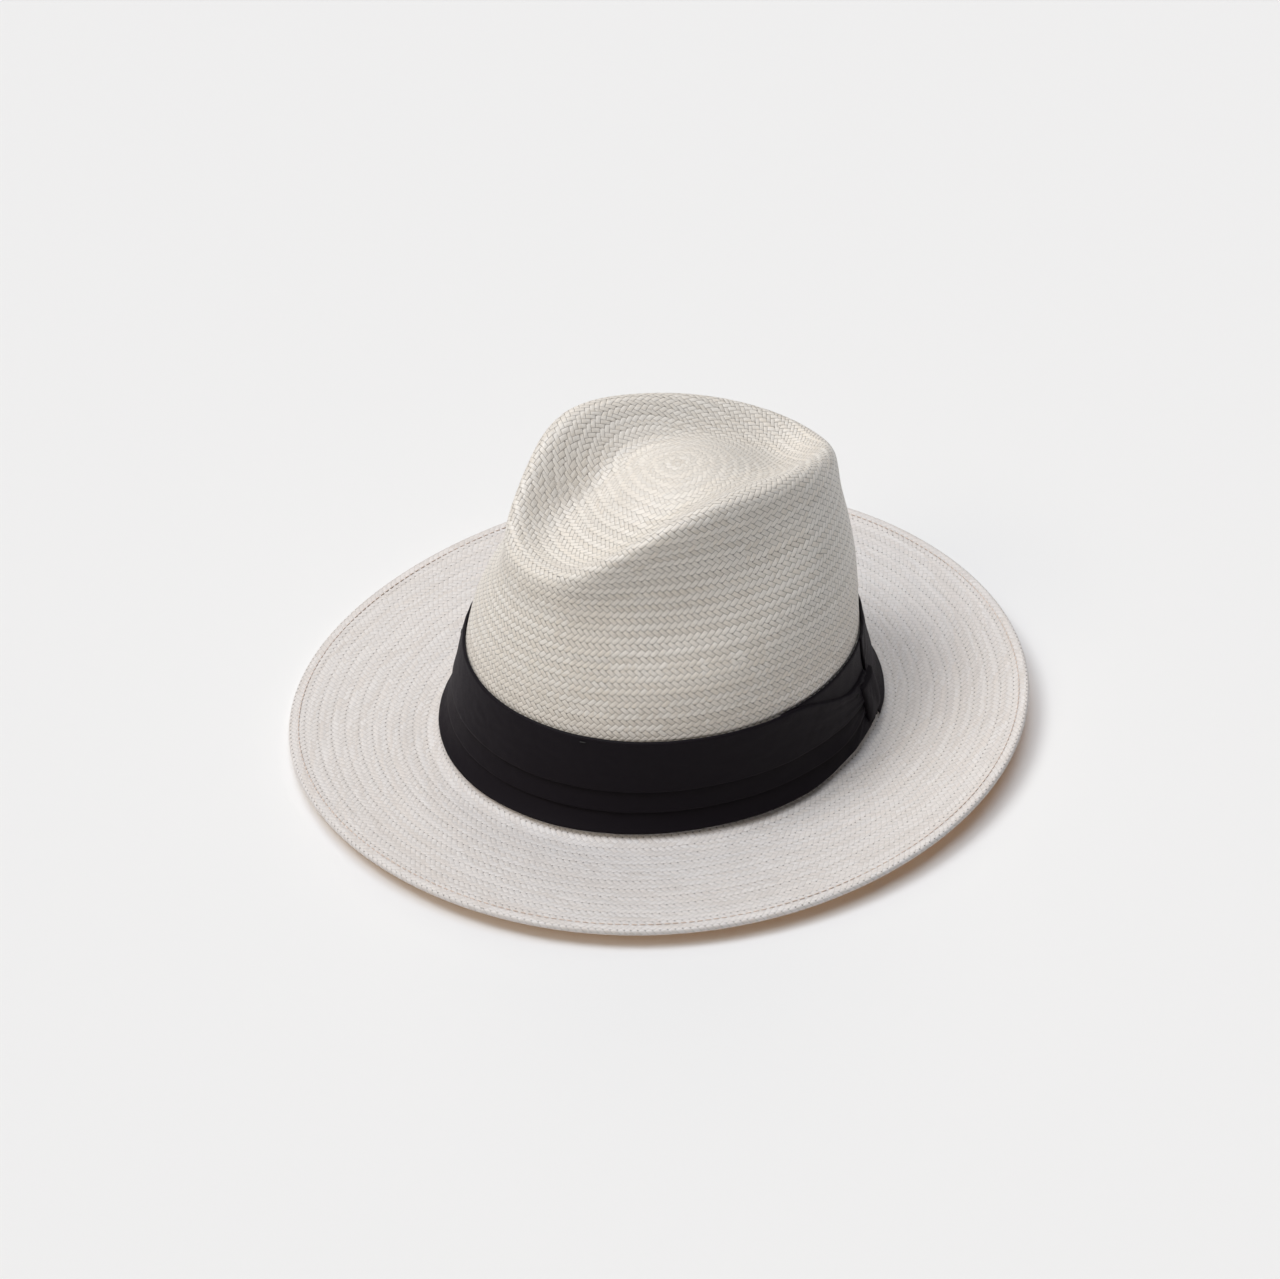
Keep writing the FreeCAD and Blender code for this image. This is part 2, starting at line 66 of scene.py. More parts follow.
SWEAT_Z0, SWEAT_Z1, SWEAT_T = 2.7, 34.0, 0.8
NS = 48
FOLD = 16


def series(vals, th):
    v = np.asarray(vals, float)
    m = len(v) - 1
    w = np.ones(m + 1)
    w[0] = w[-1] = 0.5
    out = 0.0
    for k in range(m + 1):
        a = (w * v * np.cos(np.pi * np.arange(m + 1) * k / m)).sum() * 2.0 / m
        if k in (0, m):
            a *= 0.5
        out = out + a * np.cos(k * np.radians(th))
    return out


def bump(t, centre, width):
    return np.exp(-((((t - centre + 180.0) % 360.0) - 180.0) / width) ** 2)


def brim_edge(t):
    r = np.radians(t)
    k = 1 + 0.004 * np.cos(3 * r) - 0.005 * np.cos(4 * r)
    return np.stack([BRIM_B * np.cos(r) * k, BRIM_A * np.sin(r) * k - 0.9,
                     10.1 + 2.2 * np.cos(r) + 3.5 * np.sin(r) - 1.2 * np.cos(2 * r)
                     - .6 * np.sin(2 * r) - .6 * np.cos(3 * r) + 1.2 * np.sin(3 * r)], -1)


def unit(v):
    return v / np.maximum(np.linalg.norm(v, axis=-1, keepdims=True), 1e-12)


def oval_normal(t):
    r = np.radians(t)
    return unit(np.stack([np.cos(r) / BASE_B, np.sin(r) / BASE_A, 0 * r], -1))


def stations(t):
    r = np.radians(t)
    c, s = np.cos(r), np.sin(r)
    th = np.abs(((t + 90.0 + 180.0) % 360.0) - 180.0)
    g, cz, pw = series(CREST_G, th), series(CREST_Z, th), series(WALL_P, th)
    yc, ya = (CREST_FRONT + CREST_REAR) / 2, (CREST_REAR - CREST_FRONT) / 2
    cx, cy = g * c, yc + ya * s
    bx, by = BASE_B * c, BASE_A * s
    wx, wy = WALL_B * c, WALL_A * s
    fz, fi = series(FLOOR_Z, th), series(FLOOR_IN, th)
    rr = np.hypot(cx, cy - yc)
    ux, uy = cx / rr, (cy - yc) / rr
    inward = 4.0 * bump(t, 224.0, 26.0)
    cx, cy = cx - ux * inward, cy - uy * inward
    fi = fi + 4.5 * bump(t, 222.0, 34.0) + 3.0 * bump(t, 150.0, 50.0)
    cz = cz + 1.8 * bump(t, 203.0, 20.0) - 1.5 * bump(t, 140.0, 35.0)
    fx, fy = cx - ux * fi, cy - uy * fi
    out = []
    V = lambda x, y, z: out.append(np.stack([x + 0 * r, y + 0 * r, z + 0 * r], -1))
    for k, drop in ((0.0, 0.0), (0.3, 0.0), (0.62, 0.42), (0.9, 0.86)):
        V(fx * k, APEX_Y + (fy - APEX_Y) * k, APEX_Z + (fz - APEX_Z) * drop)
    V(cx - ux * fi * 0.60, cy - uy * fi * 0.60, fz + (cz - fz) * 0.62)
    V(cx - ux * fi * 0.26, cy - uy * fi * 0.26, cz + 0.9)
    V(cx + ux * 1.0, cy + uy * 1.0, cz + 1.9)
    lean = np.hypot(wx - cx, wy - cy) * pw / (cz - WALL_Z)
    side = 2.5 + 4.7 * lean
    V(cx + ux * side, cy + uy * side, cz - 3.5)
    n = oval_normal(t)
    for h in (0.88, 0.78, 0.665, 0.54, 0.41, 0.29, 0.17, 0.085):
        z = cz * h
        hh = np.clip((z - WALL_Z) / (cz - WALL_Z), 0.0, 1.0)
        f = hh ** pw
        lo = np.clip(z / WALL_Z, 0.0, 1.0) ** 0.85
        x = bx + (wx - bx) * lo + (cx - wx) * f
        y = by + (wy - by) * lo + (cy - wy) * f
        u = np.clip((z - np.interp(th, PINCH_T, PINCH_Z) + 8.0) / 22.0, 0.0, 1.0)
        d = np.interp(th, PINCH_T, PINCH_DEPTH) * u * u * (3 - 2 * u) * (0.72 if h == 0.88 else 1.0)
        if h < 0.12:
            d = d - 0.8
        V(x - n[:, 0] * d, y - n[:, 1] * d, z)
    V(bx + n[:, 0] * 2.0, by + n[:, 1] * 2.0, 3.4)
    V(bx + n[:, 0] * FLARE, by + n[:, 1] * FLARE, 0.25)
    e = brim_edge(t)
    p0 = np.stack([bx + n[:, 0] * FLARE, by + n[:, 1] * FLARE, 0 * bx], -1)
    for k in (0.2, 0.4, 0.6, 0.8, 0.93):
        p = p0 + (e * [1, 1, 0] - p0) * k
        V(p[:, 0], p[:, 1], 1.35 + (e[:, 2] - 1.35) * k ** 1.25)
    return np.stack(out, 1)


ANG = 360.0 * np.arange(NS) / NS
OUTER = stations(ANG)


def grid_normals(grid):
    a = np.roll(grid, -1, 0) - np.roll(grid, 1, 0)
    b = np.concatenate([grid[:, 1:2] - grid[:, :1], grid[:, 2:] - grid[:, :-2], grid[:, -1:] - grid[:, -2:-1]], 1)
    return unit(np.cross(a, b))


NORM = grid_normals(OUTER)
if NORM[0, 9, 0] < 0:
    NORM = -NORM
NORM[:, 0] = (0, 0, 1)
INNER = OUTER - NORM * STRAW_T


def edge_frames(t):
    e = brim_edge(t)
    tan = unit(brim_edge(t + 0.5) - brim_edge(t - 0.5))
    inward = stations(t)[:, -2]
    out = e - inward
    out = unit(out - tan * (out * tan).sum(-1, keepdims=True))
    up = -np.cross(tan, out)
    up = np.where(up[:, 2:] < 0, -up, up)
    return e, out, unit(up), tan


E0, EO, EU, ET = edge_frames(ANG)
q = lambda a, b: (E0 + EO * a + EU * b)[:, None]
BASE = np.stack([BASE_B * np.cos(np.radians(ANG)), BASE_A * np.sin(np.radians(ANG)), 0 * ANG], -1)
BN = oval_normal(ANG)
ring = lambda o, z: (BASE + BN * o + np.array([0, 0, z]))[:, None]
r_ = BEAD_R
TOP = np.concatenate([OUTER, q(-5.0, 0.0), q(-2.6, 0.05), q(-1.1, 0.02), q(-0.1, -0.35), q(0.12, -r_),
                      q(-0.1, -2 * r_ + 0.35), q(-1.1, -2 * r_ - 0.02), q(-2.6, -2 * r_ + 0.1),
                      q(-4.6, -2.35), q(-7.0, -2.15), q(-HEM_W, -2.12)], 1)
UNDER = np.concatenate([q(-2.6, -0.96), q(-5.0, -1.0), q(-8.0, -1.0)]
                       + [INNER[:, k:k + 1] for k in range(FOLD + 5, FOLD + 1, -1)]
                       + [ring(REST_OUT + 4.0, 0.1), ring(REST_OUT, 0.0)], 1)
INSIDE = np.concatenate([ring(REST_IN, 0.0), ring(REST_IN - 1.35, 0.5)]
                        + [INNER[:, j:j + 1] for j in range(FOLD, -1, -1)], 1)


# --- spline evaluation -------------------------------------------------------
def per_weights(t):
    """Weights (n, NS) of the closed uniform cubic at angles t in degrees."""
    u = (np.asarray(t, float) / 360.0 * NS) % NS
    i = np.floor(u).astype(int)
    f = u - i
    w = np.zeros((len(u), NS))
    rows = np.arange(len(u))
    for k, b in enumerate([(1 - f) ** 3 / 6, (3 * f ** 3 - 6 * f ** 2 + 4) / 6,
                           (-3 * f ** 3 + 3 * f ** 2 + 3 * f + 1) / 6, f ** 3 / 6]):
        np.add.at(w, (rows, (i + k - 1) % NS), b)
    return w


def cl_weights(v, count):
    """Weights (n, count) of the clamped uniform cubic at parameters v in 0..count-3."""
    v = np.clip(np.asarray(v, float), 0, count - 3 - 1e-9)
    kn = np.concatenate([[0.0] * 3, np.arange(count - 2), [count - 3.0] * 3])
    b = np.zeros((len(v), len(kn) - 1))
    span = np.floor(v).astype(int) + 3
    b[np.arange(len(v)), span] = 1.0
    for d in (1, 2, 3):
        nb = np.zeros_like(b)
        for i in range(len(kn) - 1 - d):
            l, r = kn[i + d] - kn[i], kn[i + d + 1] - kn[i + 1]
            t = 0.0
            if l > 0:
                t = t + (v - kn[i]) / l * b[:, i]
            if r > 0:
                t = t + (kn[i + d + 1] - v) / r * b[:, i + 1]
            nb[:, i] = t
        b = nb
    return b[:, :count]


def sheet(poles, v, t):
    """Points (len(v), len(t), 3) on the surface with these poles."""
    wt, wv = per_weights(t), cl_weights(v, poles.shape[1])
    return np.einsum("vk,tkc->vtc", wv, np.einsum("ts,skc->tkc", wt, poles))


def sheet_at(poles, v, t):
    """Points at paired parameters."""
    wt, wv = per_weights(t), cl_weights(v, poles.shape[1])
    out = np.empty((len(v), 3))
    for a in range(0, len(v), 20000):
        s = slice(a, a + 20000)
        out[s] = np.einsum("nk,nkc->nc", wv[s], np.einsum("ns,skc->nkc", wt[s], poles))
    return out


def mean_arc(poles, v0, v1, n=600):
    v = np.linspace(v0, v1, n)
    p = sheet(poles, v, np.arange(0, 360, 7.5))
    s = np.concatenate([[0], np.cumsum(np.linalg.norm(np.diff(p, axis=0), axis=-1).mean(1))])
    return v, s


def spaced(poles, v0, v1, step):
    """Parameters from v0 to v1 at about step millimetres apart."""
    v, s = mean_arc(poles, v0, v1)
    n = max(int(round(s[-1] / step)), 2)
    return np.interp(np.linspace(0, s[-1], n + 1), s, v)


def at_height(poles, z, lo, hi):
    """Parameter at which the closed surface's mean height over NS angles meets height z."""
    t = np.arange(0, 360, 7.5)
    v = np.linspace(lo, hi, 400)
    p = sheet(poles, v, t)[..., 2].mean(1)
    return float(np.interp(z, p[::-1], v[::-1])) if p[0] > p[-1] else float(np.interp(z, p, v))


# --- meshes -------------------------------------------------------------------
def make_mesh(name, co, quads, ngons=(), normals=None, corner=None, point=None):
    me = bpy.data.meshes.new(name)
    co = np.asarray(co, float) * MM
    me.vertices.add(len(co))
    me.vertices.foreach_set("co", co.astype(np.float32).ravel())
    quads = np.asarray(quads, np.int32).reshape(-1, 4)
    loops = [quads.ravel()] + [np.asarray(g, np.int32) for g in ngons]
    totals = np.concatenate([np.full(len(quads), 4), [len(g) for g in ngons]]).astype(np.int32)
    li = np.concatenate(loops)
    me.loops.add(len(li))
    me.loops.foreach_set("vertex_index", li)
    me.polygons.add(len(totals))
    starts = np.concatenate([[0], np.cumsum(totals)[:-1]]).astype(np.int32)
    me.polygons.foreach_set("loop_start", starts)
    me.update(calc_edges=True)
    me.polygons.foreach_set("use_smooth", np.ones(len(totals), bool))
    if corner is not None:
        for key, val in corner.items():
            full = np.zeros((len(li), val.shape[-1]), np.float32)
            full[:len(quads) * 4] = val.reshape(-1, val.shape[-1])
            kind, field = {2: ("FLOAT2", "vector"), 3: ("FLOAT_VECTOR", "vector")}[val.shape[-1]]
            a = me.attributes.new(key, kind, "CORNER")
            a.data.foreach_set(field, full.ravel())
    if point is not None:
        for key, val in point.items():
            val = np.asarray(val, np.float32)
            if val.ndim == 1:
                a = me.attributes.new(key, "FLOAT", "POINT")
                a.data.foreach_set("value", val)
            else:
                kind = {2: "FLOAT2", 3: "FLOAT_VECTOR"}[val.shape[-1]]
                a = me.attributes.new(key, kind, "POINT")
                a.data.foreach_set("vector", val.ravel())
    if normals is not None:
        me.normals_split_custom_set_from_vertices(np.asarray(normals, float).tolist())
    ob = bpy.data.objects.new(name, me)
    bpy.context.scene.collection.objects.link(ob)
    return ob


def wrap_quads(rows, cols, closed_cols):
    """Quads of a row-by-column grid; index = row * cols + col."""
    c = np.arange(cols if closed_cols else cols - 1)
    r = np.arange(rows - 1)
    a = r[:, None] * cols + c[None]
    b = r[:, None] * cols + (c[None] + 1) % cols
    return np.stack([a, b, b + cols, a + cols], -1).reshape(-1, 4)


def grid_frame(p, closed):
    """Normals of a point grid (rows, cols, 3)."""
    if closed:
        du = np.roll(p, -1, 1) - np.roll(p, 1, 1)
    else:
        du = np.gradient(p, axis=1)
    dv = np.gradient(p, axis=0)
    return unit(np.cross(du, dv))


rng = np.random.default_rng(11)


def noise2(x, y, seed, octaves=3):
    """Smooth value noise on the plane, unit size cells."""
    out = 0.0
    amp, tot = 1.0, 0.0
    for o in range(octaves):
        g = np.random.default_rng(seed + o).uniform(-1, 1, (256, 256))
        xi, yi = np.floor(x).astype(int), np.floor(y).astype(int)
        fx, fy = x - xi, y - yi
        fx, fy = fx * fx * (3 - 2 * fx), fy * fy * (3 - 2 * fy)
        a = g[xi % 256, yi % 256] * (1 - fx) + g[(xi + 1) % 256, yi % 256] * fx
        b = g[xi % 256, (yi + 1) % 256] * (1 - fx) + g[(xi + 1) % 256, (yi + 1) % 256] * fx
        out = out + amp * (a * (1 - fy) + b * fy)
        tot += amp
        amp *= 0.5
        x, y = x * 2.03 + 7.1, y * 2.03 + 3.7
    return out / tot


# --- the weave ----------------------------------------------------------------
def weave_height(A, B, flip=False):
    """Relief of the twill, 0 in the gaps to 1 on a float."""
    i, j = np.floor(A), np.floor(B)
    fa, fb = A - i, B - j
    d = np.mod(i - j + (2 if flip else 0), 4)
    top = d < 2
    across = np.where(top, fa, fb)
    t = np.where(top, fb + (1 - d), fa + (d - 2))
    e = np.abs(2 * across - 1)
    return (1 - 0.18 * e ** 2 - 0.60 * np.clip((e - 0.76) / 0.24, 0, 1) ** 2) * (1 - 0.70 * np.abs(t - 1) ** 4.5)


class Phases:
    """Strand counts that grow with the ring's length, one inserted strand pair at a time."""

    def __init__(self, poles, v0, v1, pitch, row, n0, lines, seed, from_end=False):
        self.v = np.linspace(v0, v1, 900)
        p = sheet(poles, self.v, np.arange(0, 360, 3.0))
        per = np.linalg.norm(np.roll(p, -1, 1) - p, axis=-1).sum(1)
        step = np.linalg.norm(np.diff(p, axis=0), axis=-1)
        self.s = np.concatenate([[0], np.cumsum(step.mean(1))])
        arc = np.concatenate([np.zeros((1, p.shape[1])), np.cumsum(step, 0)])
        self.arc_t = np.arange(0, 360, 3.0)
        # local arc length, scaled so that every meridian holds the same number of rows
        self.rows = np.maximum(round(self.s[-1] / row), 1)
        self.rel = arc / arc[-1:] * self.rows
        if from_end:
            # rows run level with the last ring and even out towards the centre
            total, back = arc[-1:], arc[-1:] - arc
            f = back / total
            self.rel = -(back / row) * (1 + (total.mean() / total - 1) * f ** 2)
        per = np.maximum.accumulate(np.maximum(per, 6.0))
        self.Y = np.concatenate([[0], np.cumsum(np.diff(self.s) / (0.5 * (per[1:] + per[:-1]) / (2 * np.pi)))])
        target = per / pitch
        first = n0 if n0 else int(round(target[0]))
        self.n0 = first
        g = np.random.default_rng(seed)
        self.vk, self.tk = [], []
        golden = 2 * np.pi * 0.6180339887
        for n in range(first + 1, int(target[-1]) + 1):
            self.vk.append(np.interp(n - 0.5, target, self.Y))
            if lines and self.vk[-1] < lines[1]:
                m = lines[0]
                self.tk.append((n % m) * 2 * np.pi / m + 0.55 + g.normal(0, 0.05))
            else:
                self.tk.append(((n * golden) % (2 * np.pi)) + g.normal(0, 0.05))
        self.seed = seed

    def col(self, theta, y):
        """Float count coordinate for angles theta (radians) and conformal rows y, broadcast together."""
        c = self.n0 * theta / (2 * np.pi)
        for tk, yk in zip(self.tk, self.vk):
            x = np.mod(theta - tk + np.pi, 2 * np.pi) - np.pi
            h = (y - yk) / 2
            w = np.arctan2((np.cos(x / 2) * np.sinh(h)).astype(np.float32), (np.sin(x / 2) * np.cosh(h)).astype(np.float32))
            c = c + x / (4 * np.pi) - w / (2 * np.pi)
        return c

    def row_of(self, v, tdeg):
        """Row coordinate at paired or grid parameters (v rows, t columns)."""
        k = np.interp(v, self.v, np.arange(len(self.v)))
        i = np.clip(np.floor(k).astype(int), 0, len(self.v) - 2)
        f = k - i
        u = (tdeg / 3.0) % len(self.arc_t)
        j = np.floor(u).astype(int)
        g = u - j
        j2 = (j + 1) % len(self.arc_t)
        R = self.rel
        return ((R[i, j] * (1 - f) + R[i + 1, j] * f) * (1 - g) + (R[i, j2] * (1 - f) + R[i + 1, j2] * f) * g)


def ab_of(ph, vv, tt, wob=0.05):
    """Strand coordinates A and B at parameters (same shapes), tt in degrees."""
    y = np.interp(vv, ph.v, ph.Y)
    c = ph.col(np.radians(tt), y)
    r = ph.row_of(vv, tt)
    nx, ny = c * 0.35, r * 0.35
    wa = noise2(tt * 0.11 + 5, r * 0.21, ph.seed + 50) * wob
    wb = noise2(tt * 0.13 + 9, r * 0.17, ph.seed + 60) * wob
    return c + r + wa, c - r + wb


def unwrap(A, B, quads):
    """Corner values for each quad, with whole-strand jumps taken out."""
    a, b = A[quads], B[quads]
    k = np.round(a - a[:, :1] - 0.0)
    big = np.abs(a - a[:, :1]) > 0.5
    k = np.where(big, k, 0)
    a2, b2 = a - k, b - k
    return np.stack([a2, b2], -1)


def shell_piece(name, P, N, A, B, cols, c0, c1, total_cols):
    """Closed strip of a ring-shaped section: P (rows, cols+, 3) is a closed loop of rows; columns c0..c1."""
    rows = P.shape[0]
    cc = np.arange(c0, c1 + 1) % total_cols
    p = P[:, cc]
    n = N[:, cc]
    k = len(cc)
    r = np.arange(rows)
    c = np.arange(k - 1)
    a = r[:, None] * k + c[None]
    d = ((r[:, None] + 1) % rows) * k + c[None]
    quads = np.stack([a, d, d + 1, a + 1], -1).reshape(-1, 4)
    av, bv = A[:, cc].ravel(), B[:, cc].ravel()
    caps = [np.arange(rows)[::-1] * k, np.arange(rows) * k + (k - 1)]
    co = p.reshape(-1, 3)
    corner = {"weave": unwrap(av, bv, quads)}
    return make_mesh(name, co, quads, ngons=caps, normals=n.reshape(-1, 3), corner=corner)


def fix_loop(A, B):
    return A, B


# --- straw: crown ---------------------------------------------------------------
V_CREST = 5.15            # clamped parameter of the top row of the wall
STRAW_RELIEF = 0.17


def relief(P, N, A, B, amp, flip=False):
    h = weave_height(A, B, flip)
    return P + N * ((h - 0.62) * amp)[..., None]


def wobble(P, N, seed, amp=0.35, size=26.0):
    """Slow unevenness of the hand-blocked surface."""
    w = noise2(P[..., 0] / size + 20, P[..., 1] / size + P[..., 2] / (size * 1.3) + 20, seed, 2)
    return P + N * (w * amp)[..., None]


v_wall_end = at_height(OUTER, 10.0, 7.2, 15.6)
NQ = 220                  # squares across the crown top
NC = NQ * 4
crown = Phases(OUTER, 0.02, v_wall_end, 3.15, 2.70, 0, (6, 1.25), 3, from_end=True)

# top: square grid drawn onto a disc, rows of equal arc length
v_of_r, s_of_r = mean_arc(OUTER, 0.0, V_CREST)
gx, gy = np.meshgrid(np.linspace(-1, 1, NQ + 1), np.linspace(-1, 1, NQ + 1), indexing="ij")
big = np.abs(gx) > np.abs(gy)
with np.errstate(divide="ignore", invalid="ignore"):
    rr_ = np.where(big, gx, gy)
    ph_ = np.where(big, np.pi / 4 * gy / np.where(gx == 0, 1, gx), np.pi / 2 - np.pi / 4 * gx / np.where(gy == 0, 1, gy))
ph_ = np.where((gx == 0) & (gy == 0), 0.0, ph_)
disc_x, disc_y = rr_ * np.cos(ph_), rr_ * np.sin(ph_)
disc_r, disc_t = np.hypot(disc_x, disc_y), np.degrees(np.arctan2(disc_y, disc_x)) % 360.0
top_v = np.interp(disc_r * s_of_r[-1], s_of_r, v_of_r)


def normals_at(poles, v, t):
    e = 0.02
    lim = poles.shape[1] - 3.0
    a = sheet_at(poles, v, t + 0.3) - sheet_at(poles, v, t - 0.3)
    b = sheet_at(poles, np.minimum(v + e, lim), t) - sheet_at(poles, np.maximum(v - e, 0), t)
    n = unit(np.cross(b, a))
    bad = np.linalg.norm(a, axis=-1) < 1e-4
    n[bad] = (0, 0, 1)
    return n


tv, tt = top_v.ravel(), disc_t.ravel()
top_p = sheet_at(OUTER, tv, tt)
top_n = normals_at(OUTER, np.maximum(tv, 0.06), tt)
if top_n[:, 2].mean() < 0:
    top_n = -top_n
top_p = wobble(top_p, top_n, 31)
ty = np.interp(np.maximum(tv, 0.03), crown.v, crown.Y)
tc = crown.col(np.radians(tt), ty)
tr = crown.row_of(tv, tt)


def straw_ab(c, r, tdeg, seed):
    wa = noise2(tdeg * 0.10 + 5, r * 0.21, seed + 50, 2) * 0.10
    wb = noise2(tdeg * 0.12 + 9, r * 0.17, seed + 60, 2) * 0.10
    # periodic in angle: the noise fades out across the seam
    f = np.minimum(np.minimum(tdeg, 360 - tdeg) / 8.0, 1.0)
    return c + r + wa * f, c - r + wb * f


TA, TB = straw_ab(tc, tr, tt, 3)
# wall
wall_v = spaced(OUTER, V_CREST, v_wall_end, 0.45)
# the square's edge, walked round: angles of the wall's columns
edge_idx = np.concatenate([np.arange(NQ) + (NQ) * 0 + 0 * 1])
ix = np.concatenate([np.full(NQ, NQ), np.arange(NQ, 0, -1), np.full(NQ, 0), np.arange(0, NQ)])
iy = np.concatenate([np.arange(0, NQ), np.full(NQ, NQ), np.arange(NQ, 0, -1), np.full(NQ, 0)])
edge = ix * (NQ + 1) + iy
col_t = tt[edge]
wt_cols = per_weights(col_t)


def ring_sheet(poles, v):
    return np.einsum("vk,tkc->vtc", cl_weights(v, poles.shape[1]), np.einsum("ts,skc->tkc", wt_cols, poles))


def ring_normals(poles, v, wts):
    e = 0.02
    lim = poles.shape[1] - 3.0
    f = lambda vv: np.einsum("vk,tkc->vtc", cl_weights(vv, poles.shape[1]), np.einsum("ts,skc->tkc", wts, poles))
    p = f(v)
    a = np.roll(p, -1, 1) - np.roll(p, 1, 1)
    b = f(np.minimum(v + e, lim)) - f(np.maximum(v - e, 0))
    return unit(np.cross(b, a))


wall_p = ring_sheet(OUTER, wall_v)
wall_n = ring_normals(OUTER, wall_v, wt_cols)
if (wall_n[:, :, :2] * wall_p[:, :, :2]).sum(-1).mean() < 0:
    wall_n = -wall_n
wall_p = wobble(wall_p, wall_n, 31)
wy_ = np.interp(wall_v, crown.v, crown.Y)
WC = crown.col(np.radians(col_t)[None, :], wy_[:, None])
WR = crown.row_of(wall_v[:, None] + 0 * col_t[None], col_t[None] + 0 * wall_v[:, None])
WA, WB = straw_ab(WC, WR, col_t[None] + 0 * WR, 3)
wall_o = relief(wall_p, wall_n, WA, WB, STRAW_RELIEF)
# share the top row exactly with the square's edge
# the floor of the dent is pressed smoother than the rest
CENTRE = top_p[np.argmin(tv)]
press = np.clip((np.hypot((top_p[:, 0] - CENTRE[0]) / 36, (top_p[:, 1] - CENTRE[1]) / 50) - 0.45) / 0.6, 0, 1)
top_o = relief(top_p, top_n, TA, TB, STRAW_RELIEF * (0.45 + 0.55 * press ** 2 * (3 - 2 * press)))
wall_o[0] = top_o[edge]
wall_i = wall_p[::-2] - wall_n[::-2] * STRAW_T
WAi, WBi = WA[::-2], WB[::-2]
if len(wall_v) % 2 == 0:
    wall_i = np.concatenate([wall_i, (wall_p[:1] - wall_n[:1] * STRAW_T)])
    WAi, WBi = np.concatenate([WAi, WA[:1]]), np.concatenate([WBi, WB[:1]])
ni = np.concatenate([-wall_n[::-2], -wall_n[:1]])[:len(wall_i)]
hi = weave_height(WAi, WBi, True)
wall_i = wall_i + ni * ((hi - 0.62) * STRAW_RELIEF * 0.6)[..., None]
top_i = top_p - top_n * STRAW_T - top_n * ((weave_height(TA, TB, True) - 0.62) * STRAW_RELIEF * 0.6)[:, None]
wall_i[-1] = top_i[edge]


def vertex_normals(co, quads):
    d1 = co[quads[:, 2]] - co[quads[:, 0]]
    d2 = co[quads[:, 3]] - co[quads[:, 1]]
    f = np.cross(d1, d2)
    out = np.zeros_like(co)
    for k in range(4):
        for ax in range(3):
            out[:, ax] += np.bincount(quads[:, k], f[:, ax], len(co))
    return unit(out)


# one smooth normal field over top and wall together
gi = np.arange((NQ + 1) ** 2).reshape(NQ + 1, NQ + 1)
top_quads = np.stack([gi[:-1, :-1], gi[1:, :-1], gi[1:, 1:], gi[:-1, 1:]], -1).reshape(-1, 4)
nt = len(top_o)
rows_w = len(wall_v)
widx = nt + np.arange((rows_w - 1) * NC).reshape(rows_w - 1, NC)
widx = np.concatenate([edge[None], widx])
a_ = widx[:-1]
b_ = widx[1:]
wall_quads = np.stack([a_, b_, np.roll(b_, -1, 1), np.roll(a_, -1, 1)], -1).reshape(-1, 4)
all_co = np.concatenate([top_o, wall_o[1:].reshape(-1, 3)])
vn = vertex_normals(all_co, np.concatenate([top_quads, wall_quads]))
top_nn = vn[:nt]
if top_nn[:, 2].mean() < 0:
    vn = -vn
    top_nn = vn[:nt]
wall_nn = np.concatenate([vn[edge][None], vn[nt:].reshape(rows_w - 1, NC, 3)])

# crown top piece: outer square, inner square, rim between them
tco = np.concatenate([top_o, top_i])
q_out = top_quads
q_in = top_quads[:, ::-1] + nt
e2 = np.roll(edge, -1)
q_rim = np.stack([edge, edge + nt, e2 + nt, e2], -1)
if np.cross(top_o[q_out[:, 2]] - top_o[q_out[:, 0]], top_o[q_out[:, 3]] - top_o[q_out[:, 1]])[:, 2].mean() < 0:
    q_out, q_in, q_rim = q_out[:, ::-1], q_in[:, ::-1], q_rim[:, ::-1]
TQ = np.concatenate([q_out, q_in, q_rim])
tav, tbv = np.concatenate([TA, TA + 2]), np.concatenate([TB, TB])
straw_pieces = [make_mesh("straw_crown_top", tco, TQ, normals=np.concatenate([top_nn, -top_n]),
                          corner={"weave": unwrap(tav, tbv, TQ)})]

# wall pieces
WP = np.concatenate([wall_o, wall_i])
WN = np.concatenate([wall_nn, ni])
WAA = np.concatenate([WA, WAi + 2])
WBB = np.concatenate([WB, WBi])
third = NC // 3
cuts = [0, 293, 586, 880]
for k in range(3):
    straw_pieces.append(shell_piece("straw_crown_wall_%d" % (k + 1), WP, WN, WAA, WBB, NC, cuts[k], cuts[k + 1], NC))

# --- straw: brim ----------------------------------------------------------------
BC = 1440
bt = 360.0 * np.arange(BC) / BC
wb_cols = per_weights(bt)
ring_b = lambda poles, v: np.einsum("vk,tkc->vtc", cl_weights(v, poles.shape[1]),
                                    np.einsum("ts,skc->tkc", wb_cols, poles))
V_EDGE = TOP.shape[1] - 3.0
v_b0 = at_height(TOP, 10.0, 7.2, 15.6)
top_rows = spaced(TOP, v_b0, 24.6, 0.6)
bead_rows = spaced(TOP, 24.6, 29.4, 0.42)[1:]
hem_rows = spaced(TOP, 29.4, V_EDGE, 0.75)[1:]
bv = np.concatenate([top_rows, bead_rows, hem_rows])
brim = Phases(TOP, v_b0, V_EDGE, 2.95, 2.95, 0, None, 8)
bp = ring_b(TOP, bv)
bn = ring_normals(TOP, bv, wb_cols)
mid = len(top_rows) // 2
if bn[mid, :, 2].mean() < 0:
    bn = -bn
slow = np.clip((24.0 - bv) / 3.0, 0, 1)
bp = bp + bn * (noise2(bp[..., 0] / 30 + 9, bp[..., 1] / 30 + 9, 77, 2) * 0.35)[..., None] * slow[:, None, None]
by_ = np.interp(bv, brim.v, brim.Y)
BCc = brim.col(np.radians(bt)[None], by_[:, None])
BR = brim.row_of(bv[:, None] + 0 * bt[None], bt[None] + 0 * bv[:, None])
